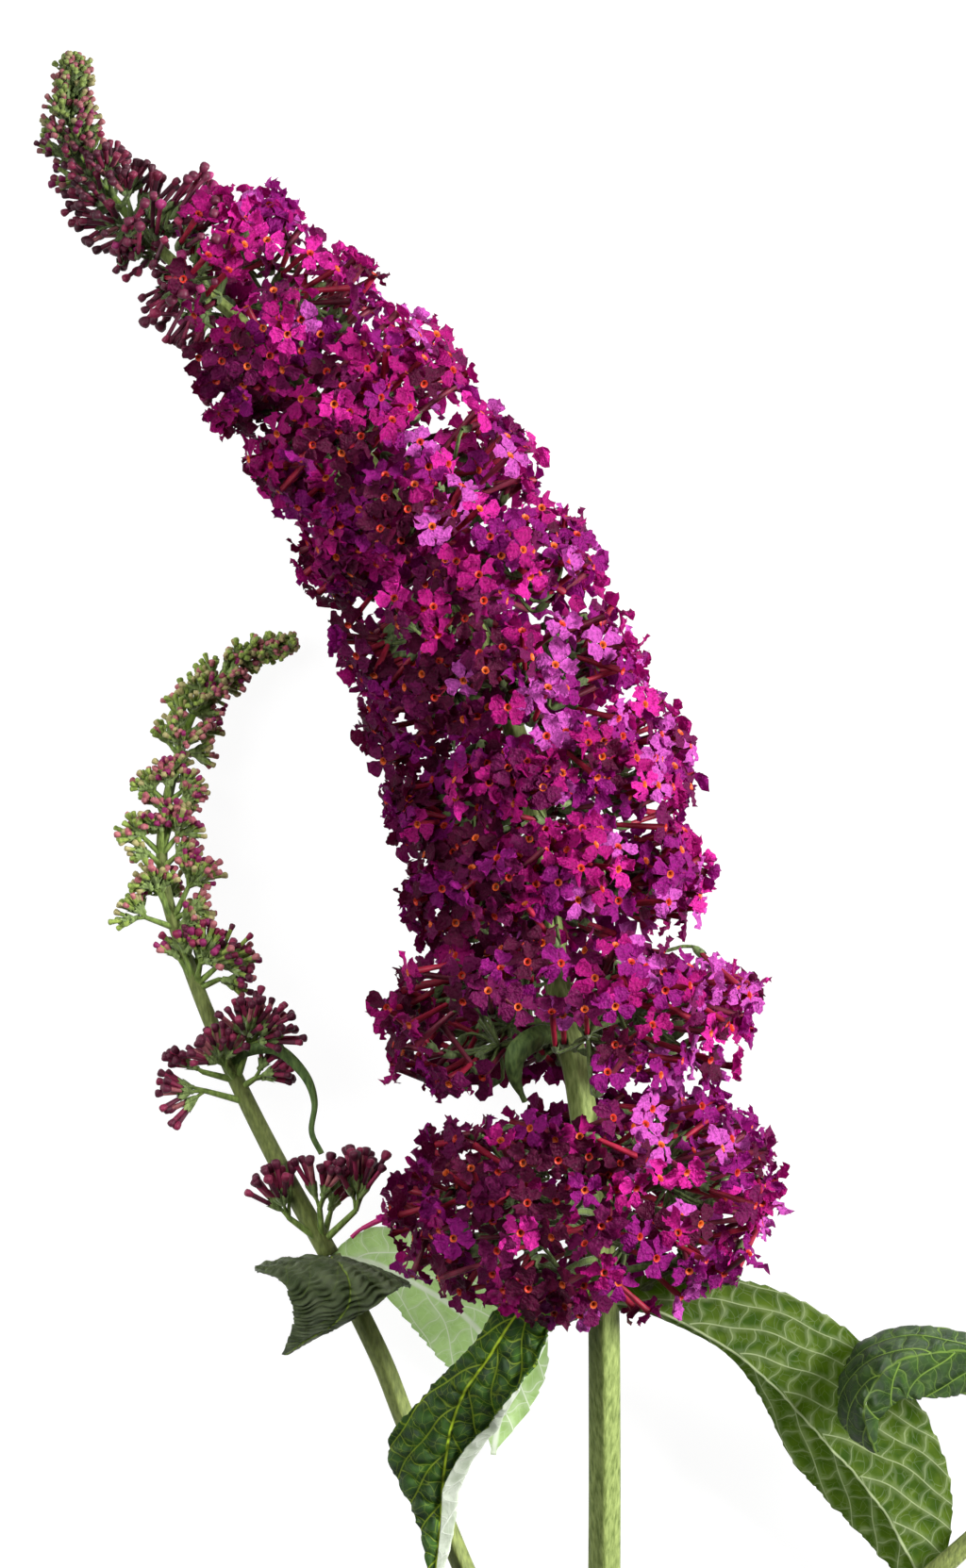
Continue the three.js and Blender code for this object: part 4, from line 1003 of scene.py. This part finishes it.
def head_hubs(whorl, azimuth, seed):
    """Forks of a head's stalk, spread over its middle."""
    rng = np.random.RandomState(seed)
    height = whorl["end"] - whorl["start"]
    middle = (whorl["start"] + whorl["end"]) / 2
    count = max(3, round(height * whorl["reach"] / HUB_ROOM))
    hubs = []
    for i in range(count):
        level = 2 * ((i * GOLDEN_SHARE + 0.3) % 1) - 1
        axes = STEM.at(middle + level * height * HUB_LEVELS)
        direction = across(axes, azimuth + HUB_SPREAD * (2 * (i + 0.5) / count - 1) + rng.uniform(-6, 6))
        out = reach_at(whorl["reach"] * rng.uniform(*HUB_REACH), whorl["lean"], direction, axes)
        hubs.append(axes[0][0] + direction * out)
    return np.array(hubs)


def petal_tone(rng, spot):
    """Petal tone of a flower: lighter violet and lilac on the lower right as painted light, magenta above,
    and darker plum and wine to the lower left as painted shade.
    """
    stem_x = np.interp(spot[1], STEM.places[:, 1], STEM.places[:, 0])
    # share by which a flower stands on the lit right side: it gets lighter tones there as painted light,
    # darker ones on the left as painted shade
    lit_right_side = 1 / (1 + math.exp(-(spot[0] - stem_x - 7) / 7))
    high = min(max(((spot[1] + 60) / 220 - 0.45) / 0.4, 0), 1)
    weights = np.array([
        0.24 + 0.22 * lit_right_side * (1 - high),
        0.01 + 0.40 * lit_right_side * (1 - 0.6 * high),
        0.22 + 0.24 * high,
        0.02 + 0.06 * high + 0.12 * lit_right_side,
        (0.34 * (1 - lit_right_side) + 0.12) * (1 - 0.4 * high),
        (0.44 * (1 - lit_right_side) + 0.04) * (1 - 0.4 * high),
    ])
    return int(rng.choice(len(weights), p=weights / weights.sum()))


def add_stalk(bag, hubs, foot, axis, turn, cup, stalk):
    """A calyx cup and its thin stalk from the nearest fork. stalk is one of the kinds above."""
    mouth, lead, radii = stalk
    bag.stamp(calyx_shape(cup, mouth), turn, foot)
    path = bent(hubs[nearest_hub(hubs, foot)], foot - axis * lead, foot, 4)
    bag.add(*tube(path, np.linspace(*radii, 4), 4), STALK)


def add_flowers(bags, sites, hubs, rng, petal_shapes, tube_shapes, leaf_points):
    """Open flowers on their sites: petals, tube, calyx and stalk."""
    for site in sites:
        spot, axis = site["spot"], site["axis"]
        if np.min(np.sum((leaf_points - spot) ** 2, 1)) < LEAF_CLEARANCE**2:
            continue
        turn = turn_to(axis, site["along"], site["spin"])
        size = rng.uniform(0.88, 1.06)
        petal = petal_shapes[rng.randint(len(petal_shapes))]
        bags["petals"].stamp(petal, turn * size, spot, petal_tone(rng, spot))
        tube_shape = tube_shapes[rng.randint(len(tube_shapes))]
        length = min(TUBE_LENGTH, 0.55 * site["out"])
        bags["tubes"].stamp(tube_shape, turn @ np.diag([1, 1, length / TUBE_LENGTH]), spot)
        cup = min(CALYX_LENGTH, 0.2 * site["out"])
        foot = spot - axis * (length + cup * 0.55)
        add_stalk(bags["stalks"], hubs, foot, axis, turn, cup, OPEN_STALK)


def add_long_buds(bags, sites, hubs, rng):
    """Long closed flowers with knobs, where a head hasn't opened yet."""
    for site in sites:
        spot, axis = site["spot"], unit(site["axis"] + site["direction"] * 0.5)
        length = min(LONG_BUD_LENGTH, 0.66 * site["out"]) * rng.uniform(0.85, 1.1)
        knob = rng.uniform(0.8, 1.2)
        kinds = LONG_BUD_KINDS[int(rng.choice(len(LONG_BUD_KINDS), p=LONG_BUD_SHARES))]
        turn = turn_to(axis, site["along"], site["spin"])
        bags["buds"].stamp(club_bud(length, 0.43, knob, *kinds), turn, spot)
        cup = length * 0.26
        foot = spot - axis * (length + cup * 0.2)
        add_stalk(bags["stalks"], hubs, foot, axis, turn, cup, CLOSED_STALK)


def add_peduncles(bag, whorl, hubs):
    """Stalks from the stem to the forks of a head."""
    middle = (whorl["start"] + whorl["end"]) / 2
    for hub in hubs:
        nearest = int(np.argmin(np.linalg.norm(STEM.places - hub, axis=1)))
        centre, along, _, _ = STEM.at(min(middle, STEM.distances[nearest]) - 2)
        lift = centre[0] + (hub - centre[0]) * 0.45 + along[0] * 1.5
        bag.add(*tube(bent(centre[0], lift, hub, 6), np.linspace(0.95, 0.5, 6), 6), STALK)


def add_head(bags, index, side, rng, layers, tube_shapes, leaf_points):
    """One of the two heads of a whorl, in its two layers."""
    whorl = WHORLS[index]
    azimuth = FIRST_AZIMUTH + (90 if index % 2 else 0) + (180 if side == "right" else 0)
    seed = HEAD_SEED + SEED_STEP * index + (side == "right")
    hubs = head_hubs(whorl, azimuth, seed)
    add_peduncles(bags["stalks"], whorl, hubs)
    outer = head_sites(whorl, azimuth, seed, whorl.get("pitch", FLOWER_PITCH), 0, hubs)
    inner = head_sites(whorl, azimuth, seed + INNER_SEED, INNER_PITCH, INNER_DEPTH, hubs)
    add_long_buds(bags, [site for site in outer + inner if site["closed"]], hubs, rng)
    for sites, shapes in zip((outer, inner), layers):
        opened = [site for site in sites if not site["closed"]]
        add_flowers(bags, opened, hubs, rng, shapes, tube_shapes, leaf_points)


def make_spike(leaf_points):
    """All whorls of the big spike, joined into a few pieces by kind and height."""
    rng = np.random.RandomState(SIZE_SEED)
    layers = [
        [lobed_flower(np.random.RandomState(seed + k), cells) for k in range(FLOWER_KINDS)]
        for seed, cells in LAYERS
    ]
    tube_shapes = [flower_tube(TUBE_LENGTH, *kinds) for kinds in TUBE_KINDS]
    for label, indices in HEIGHTS.items():
        bags = {kind: Bag() for kind in ("petals", "tubes", "stalks", "buds")}
        heads = [(index, side) for index in indices for side in ("left", "right")]
        for index, side in heads:
            add_head(bags, index, side, rng, layers, tube_shapes, leaf_points)
        nodes = [f"flowers_{index + 1:02d}_{side}" for index, side in heads]
        bags["petals"].piece(f"petals_{label}", petals, "petal", nodes)
        bags["tubes"].piece(f"tubes_{label}", tube_materials, "petal", nodes)
        bags["stalks"].piece(f"stalks_{label}", shaded_greens, "young_bud", nodes)
        if bags["buds"].count:
            bags["buds"].piece(f"buds_{label}", bud_materials, "bud", nodes)


# ---------------------------------------------------------------- spikes in bud

# Each whorl has its place along the spike, its buds' age, from 0, green and closed, to 1, long and red,
# and its arms. An arm has its fork's place from the stem (to the right, up the branch and off its bed),
# the degrees from the right that its buds lean and fan, how many they are and how far they reach.
LEFT_WHORLS = [
    dict(knot=5, age=1, arms=[
        (-7.3, 4.2, 2, 110, 34, 12, 10.5), (0.6, 6.6, 3.5, 78, 32, 11, 10), (9.7, 5.9, 1.5, 76, 36, 13, 11),
        (3, 4.5, -3, 85, 40, 6, 8),
    ]),
    dict(knot=42, age=0.8, arms=[
        (4, 6.6, 2.5, 48, 58, 22, 10.5), (1.5, 9.5, 0.5, 85, 35, 8, 6), (-1.9, 1.7, 4, 116, 52, 18, 9),
        (-7.6, 0, 1, 155, 36, 8, 7), (-7, -4.8, 0.5, 192, 36, 11, 8.5), (5.7, -1.7, 1, 18, 45, 10, 7.5),
        (0, 3, -4, 100, 60, 10, 8),
    ]),
    dict(knot=63, age=0.56, arms=[
        (-1.9, 5.2, 1.5, 98, 48, 15, 6.2), (2, 3.2, 3, 64, 48, 17, 8.5), (6.1, 2.3, 1.5, 36, 52, 17, 8.5),
        (6.8, -0.8, 0, -4, 36, 8, 6.8), (-3.6, 4.9, 0.5, 142, 38, 7, 4.2), (1, 3, -3.5, 80, 60, 10, 7.5),
    ]),
    dict(knot=77, age=0.33, arms=[
        (4.6, 6, 1, 55, 62, 20, 7.2), (-2.8, 4.7, 2.5, 105, 60, 19, 5.8), (-6.3, -1.7, 0.5, 146, 52, 12, 6),
        (4.9, 0, 1, 16, 46, 11, 5), (0, 3, -3.5, 90, 70, 10, 6),
        (3.2, -3.6, 1.5, 10, 55, 12, 5.2), (-2.6, 5.8, 1, 120, 60, 12, 5.5),
    ]),
    dict(knot=90.5, age=0.25, arms=[
        (-4.6, 1.9, 1, 132, 56, 16, 5.2), (3.8, 2.1, 1.5, 60, 62, 22, 7), (0, 3.5, 3.5, 90, 60, 12, 5),
        (0, 2.5, -3, 90, 70, 10, 6), (3.6, -2.8, 1.5, 20, 58, 14, 5.4), (-3, -2.4, 1.5, 150, 52, 10, 4.8),
        (2.6, 6.4, 1, 70, 60, 12, 5),
    ]),
    dict(knot=101, age=0.2, arms=[
        (-3.6, 0.8, 1, 126, 54, 15, 5), (3.6, 0.8, 1.5, 55, 62, 19, 5.4), (0, 2.5, 3.2, 85, 60, 12, 4.6),
        (0, 2, -2.5, 90, 70, 9, 5), (3.2, -2.6, 1.5, 22, 56, 12, 5), (-2.6, -2.6, 1, 152, 50, 9, 4.4),
        (1.2, 5, 1, 78, 60, 12, 4.6),
    ]),
]
RIGHT_WHORLS = [
    dict(knot=6, age=0.5, arms=[
        (-5, 2.5, 1.5, 115, 55, 18, 7), (5, 3, 1, 55, 55, 18, 7), (0, 3.5, 4, 90, 60, 14, 6.5),
        (0, 3, -4, 90, 60, 10, 7),
    ]),
    dict(knot=18, age=0.3, arms=[
        (-3.6, 1.5, 1, 120, 55, 15, 5.5), (3.8, 1.5, 1, 60, 55, 15, 5.5), (0, 2.5, 3, 90, 60, 12, 5),
        (0, 2, -3, 90, 60, 9, 5),
    ]),
]
BUDS_IN_FORK = 5
FORK_FAN, BUD_FAN = 0.95, 0.7      # of an arm's fan that its forks and their buds take
FULLNESS = 1.3                     # buds that a bunch has, for each one that shows from above
OLD, HALF_OLD, YOUNG = 0.6, 0.34, 0.07   # ages of buds, above which they have the knobs below
ARM_SHARE = 0.8                    # of an arm's way to its fork that is one stalk

OLD_BUDS = [
    (BUD_WINE, BUD_CRIMSON), (BUD_WINE, BUD_CRIMSON), (BUD_CRIMSON, BUD_WINE), (BUD_WINE, BUD_PINK),
]
HALF_OLD_KNOBS = (BUD_WINE, BUD_MAGENTA, BUD_CRIMSON, BUD_PINK)
SUNNY_KNOBS = (BUD_PINK, BUD_PINK, BUD_CREAM, BUD_MAGENTA)
SHADED_KNOBS = (BUD_PINK, BUD_CREAM, BUD_GREEN, BUD_GREEN)
YOUNGEST_KNOBS = (BUD_GREEN, BUD_GREEN, BUD_CREAM, BUD_PINK)

FIRST_FLOWER = dict(
    spot=(-41.5, -43, 17), axis=(1, 0.5, 0.25), hub=(-49, -47.5, 15.5), length=6, size=0.85,
    spin=0.4, seed=307,
)


def bud_kinds(age, sunny, rng):
    """Knob and tube of a bud. Young ones are green below and turn pink on the side that had the sun."""
    if age > OLD:
        return OLD_BUDS[rng.randint(len(OLD_BUDS))]
    knobs = YOUNGEST_KNOBS
    if age > HALF_OLD:
        knobs = HALF_OLD_KNOBS
    elif age > YOUNG:
        knobs = SUNNY_KNOBS if sunny else SHADED_KNOBS
    return knobs[rng.randint(len(knobs))], BUD_GREEN


def fanned(middle, number, count, spread, rng):
    """Direction of one of count that fan out from a middle one."""
    lift = 1 - (1 - math.cos(spread)) * (number + 0.3) / count
    flat = math.sqrt(1 - lift**2)
    angle = number * GOLDEN_TURN
    turned = turn_to(middle, UP + 0.01, 0) @ np.array([flat * math.cos(angle), flat * math.sin(angle), lift])
    return unit(turned + rng.normal(0, 0.09, 3))


class BudSpike:
    """Buds and stalks of a spike in bud, with its own random draws. stem is the axis of a thick stem."""

    def __init__(self, seed, stem=None):
        self.rng = np.random.RandomState(seed)
        self.stem = stem
        self.buds, self.stalks = Bag(), Bag()

    def is_sunk(self, tip):
        """Whether a bud's tip would lie inside the stem."""
        return self.stem is not None and np.min(np.sum((self.stem - tip) ** 2, 1)) < STEM_CLEARANCE**2

    def add_bud(self, foot, axis, reach, age, sunny):
        """A bud on its stalk: a small calyx cup, a tube and a knob. reach is from the foot to the tip."""
        tip = foot + axis * reach
        if tip[2] < LOWEST_TIP:
            return
        cup = 2.5 + 0.9 * age
        body = reach * (0.44 + 0.28 * age)
        knob = (0.58 + 0.36 * age**1.3) * self.rng.uniform(0.85, 1.12)
        turn = turn_to(axis, UP + 0.01, self.rng.uniform(0, 6))
        kinds = bud_kinds(age, sunny, self.rng)
        shown = min(body * 0.9, (1.6 + 3.8 * age**1.5) * self.rng.uniform(0.85, 1.15))
        if self.is_sunk(tip):
            return
        self.buds.stamp(club_bud(body, 0.40 + 0.08 * age, knob, *kinds), turn, tip)
        base = tip - axis * (shown + cup)
        self.stalks.stamp(calyx_shape(cup, 0.60 + 0.16 * age), turn, base)
        stalk = bent(foot, foot + (base - foot) * 0.5 + UP * 0.15, base + axis * 0.2, 3)
        self.stalks.add(*tube(stalk, [0.36, 0.32, 0.30], 4), STALK)

    def add_cyme(self, foot, place, lean, fan, count, length, age, sunny):
        """A forked bunch: a stalk to its place, forks that fan round lean, and buds that fan on those."""
        rng = self.rng
        thick = 0.42 + 0.15 * age
        path = bent(foot, (foot + place) / 2 + UP * 0.6, place, 6)
        self.stalks.add(*tube(path, np.linspace(thick + 0.25, thick, 6), 6), STALK)
        count *= FULLNESS
        forks = max(1, round(count / BUDS_IN_FORK))
        each = math.ceil(count / forks)
        shortest = 0.8 if age > OLD else 0.5
        for fork in range(forks):
            middle = fanned(lean, fork, forks, fan * FORK_FAN if forks > 1 else 0.1, rng)
            step = length * 0.25 * rng.uniform(0.7, 1.3)
            split = place + middle * step
            self.stalks.add(*tube([place, (place + split) / 2, split], [thick, 0.42, 0.38], 5), STALK)
            for bud in range(each):
                axis = fanned(middle, bud, each, fan * (BUD_FAN if forks > 1 else 1), rng)
                self.add_bud(split, axis, (length - step) * rng.uniform(shortest, 1.08), age, sunny)

    def finish(self, name, skins, greens, slot, nodes):
        self.buds.piece(f"{name}_buds", skins, slot, nodes)
        self.stalks.piece(f"{name}_stalks", greens, "young_bud", nodes)


def make_bud_spike(side, points, whorls, seed):
    """A young side spike: whorls of stalked bunches whose buds are redder lower down."""
    curve = Curve(points)
    spike = BudSpike(seed, curve.places)
    nodes = []
    for index, whorl in enumerate(whorls):
        stem = curve.at(whorl["knot"])[0][0]
        for right, up, off, degrees, fan, count, length in whorl["arms"]:
            place = stem + np.array([right, up, off]) * ARM_SHARE
            turn = math.radians(degrees)
            lean = unit(np.array([math.cos(turn), math.sin(turn), 0.06 * off]))
            sunny = right > 0 or degrees < 95
            start = curve.at(whorl["knot"] - 2 + min(0, up))[0][0]
            length += (1 - ARM_SHARE) * math.hypot(right, up)
            spike.add_cyme(start, place, lean, math.radians(fan), count, length, whorl["age"], sunny)
        nodes += [f"buds_{side}_{index + 1}_left", f"buds_{side}_{index + 1}_right"]
    spike.finish(f"{side}_spike", bud_materials, green_materials, "bud", nodes)


def make_first_flower():
    """The one flower that is already open on the left spike."""
    spot, axis, hub = (np.array(FIRST_FLOWER[key], float) for key in ("spot", "axis", "hub"))
    axis = unit(axis)
    turn = turn_to(axis, UP, FIRST_FLOWER["spin"])
    stretch = np.diag([1, 1, FIRST_FLOWER["length"] / TUBE_LENGTH])
    bag = Bag()
    flower = lobed_flower(np.random.RandomState(FIRST_FLOWER["seed"]), OUTER_CELLS)
    bag.stamp(flower, turn * FIRST_FLOWER["size"], spot, PETAL_PINK)
    bag.stamp(flower_tube(TUBE_LENGTH, PINK, ORANGE), turn @ stretch, spot, len(petals))
    foot = spot - axis * FIRST_FLOWER["length"]
    bag.add(*tube(bent(hub, foot - axis, foot, 4), [0.45, 0.42, 0.4, 0.4], 6), len(petals) + PINK)
    bag.piece("first_flower", petals + tube_materials, "petal", ["buds_left_1_right"])


# The close-packed tip of a spike, from its lowest buds to its end: how far its buds reach from the
# twig, the spacing of its whorls, their buds' ages and how many buds a bunch has.
TIPS = {
    "tip_main": dict(
        # the main tip's darker skins and greens are painted shade
        points=TIP_POINTS, twig=(1, 0.6), reach=(12.2, 4), spacing=(3.4, 1.5), age=(1.0, -0.1),
        buds=(5, 7), bunches=3, end=4, skins=shaded_tip_materials, greens=shaded_greens,
    ),
    "tip_left": dict(
        points=LEFT_TIP_POINTS, twig=(0.85, 0.45), reach=(7.8, 3), spacing=(4.6, 2.1), age=(0.2, 0),
        buds=(10, 7), bunches=4, end=1.6, skins=bud_materials, greens=green_materials,
    ),
    "tip_right": dict(
        points=RIGHT_TIP_POINTS, twig=(0.85, 0.45), reach=(6.6, 3), spacing=(4.4, 2.1), age=(0.24, 0),
        buds=(9, 7), bunches=4, end=2.5, skins=bud_materials, greens=green_materials,
    ),
}
TIP_FAN, END_FAN = 0.75, 0.9       # radians that bunches spread from their middle
END_BUDS = 16
TWIG_RINGS = 24


def make_tip(name, tip, seed):
    curve = Curve(tip["points"])
    spike = BudSpike(seed)
    twig = curve.at(np.linspace(0, curve.length, TWIG_RINGS))[0]
    spike.buds.add(*tube(twig, np.linspace(*tip["twig"], TWIG_RINGS), 8), TIP_STEM)

    def at_share(key, share):
        return tip[key][0] + (tip[key][1] - tip[key][0]) * share

    distance, number, bunches = 1.0, 0, tip["bunches"]
    while distance < curve.length:
        share = distance / curve.length
        axes = curve.at(distance)
        along = axes[1][0]
        reach = at_share("reach", share)
        age = max(0, at_share("age", share))
        for bunch in range(bunches):
            azimuth = (bunch + 0.5 * (number % 2)) * 360 / bunches + spike.rng.uniform(-14, 14)
            direction = across(axes, azimuth)
            lean = unit(direction * (0.85 - 0.3 * share) + along * (0.5 + 0.3 * share))
            place = axes[0][0] + direction * reach * 0.22 + along * reach * 0.1
            count = round(at_share("buds", share) * spike.rng.uniform(0.8, 1.2))
            length = reach * 0.95 * spike.rng.uniform(0.85, 1.05)
            spike.add_cyme(axes[0][0], place, lean, TIP_FAN, count, length, age, direction[0] > 0)
        distance += at_share("spacing", share)
        number += 1
    centre, along, _, _ = curve.at(curve.length)
    spike.add_cyme(centre[0] - along[0], centre[0], along[0], END_FAN, END_BUDS, tip["end"], 0, True)
    spike.finish(name, tip["skins"], tip["greens"], "young_bud", [name])


# ---------------------------------------------------------------- stage

VIEW_CENTRE = (-22.4, 44.2, 25.0)  # what the camera looks at, in the branch's own frame
VIEW_HEIGHT = 0.316                # metres of the branch from the lower to the upper edge of the view
CAMERA_DISTANCE = 3.0
SENSOR = 36
FLOOR_HALF = 6.0
WORLD_STRENGTH = 0.02
LIGHTS = [                         # name, place, diameter in metres, and watts
    ("key", (0.86, 0.20, 0.64), 0.45, 37),
    ("top", (-0.25, 0.95, 0.7), 0.5, 4),
    ("fill", (-0.72, 0.3, 0.8), 0.7, 9),
]


def make_light(name, place, size, power, target):
    lamp = bpy.data.lights.new(name, "AREA")
    lamp.shape = "DISK"
    lamp.size = size
    lamp.energy = power
    thing = bpy.data.objects.new(name, lamp)
    thing.location = place
    thing.rotation_mode = "QUATERNION"
    thing.rotation_quaternion = Vector(target - np.array(place)).to_track_quat("-Z", "Y")
    bpy.context.scene.collection.objects.link(thing)


def make_camera(centre):
    camera = bpy.data.objects.new("camera", bpy.data.cameras.new("camera"))
    camera.location = (centre[0], centre[1], centre[2] + CAMERA_DISTANCE)
    camera.data.sensor_width = SENSOR
    camera.data.lens = SENSOR * CAMERA_DISTANCE / VIEW_HEIGHT
    camera.data.clip_end = 20
    bpy.context.scene.collection.objects.link(camera)
    bpy.context.scene.camera = camera


def make_floor():
    mesh = bpy.data.meshes.new("floor")
    corners = [(x * FLOOR_HALF, y * FLOOR_HALF, 0) for x, y in ((-1, -1), (1, -1), (1, 1), (-1, 1))]
    mesh.from_pydata(corners, [], [(0, 1, 2, 3)])
    material, tree, shader, _ = new_material("pale_floor")
    set_inputs(tree, shader, {
        "Base Color": (0.1, 0.1, 0.1), "Roughness": 0.9, "Specular IOR Level": 0.0,
        "Emission Color": (1, 1, 1), "Emission Strength": 0.95,
    })
    mesh.materials.append(material)
    floor = bpy.data.objects.new("floor", mesh)
    bpy.context.scene.collection.objects.link(floor)


def make_world():
    world = bpy.data.worlds.new("studio")
    world.use_nodes = True
    tree = world.node_tree
    set_inputs(tree, tree.nodes["Background"], {"Color": (1, 1, 1), "Strength": WORLD_STRENGTH})
    bpy.context.scene.world = world


def make_stage():
    bpy.context.scene.view_settings.view_transform = "Standard"
    centre = (np.array(VIEW_CENTRE) + SHIFT) * MM
    make_camera(centre)
    make_floor()
    make_world()
    for light in LIGHTS:
        make_light(*light, centre)


# ---------------------------------------------------------------- the branch

LEAF_POINT_STEP = 9                # every so many points of a leaf keep flowers clear of it
LEFT_SEED, RIGHT_SEED, TIP_SEED = 21, 22, 31

make_stage()
make_stems()
surfaces = [make_leaf(name, leaf) for name, leaf in LEAVES.items()]
make_spike(np.concatenate([points[::LEAF_POINT_STEP] for points in surfaces]))
make_bud_spike("left", LEFT_UPPER_POINTS, LEFT_WHORLS, LEFT_SEED)
make_bud_spike("right", RIGHT_UPPER_POINTS, RIGHT_WHORLS, RIGHT_SEED)
make_first_flower()
for order, (tip_name, tip_data) in enumerate(TIPS.items()):
    make_tip(tip_name, tip_data, TIP_SEED + order)
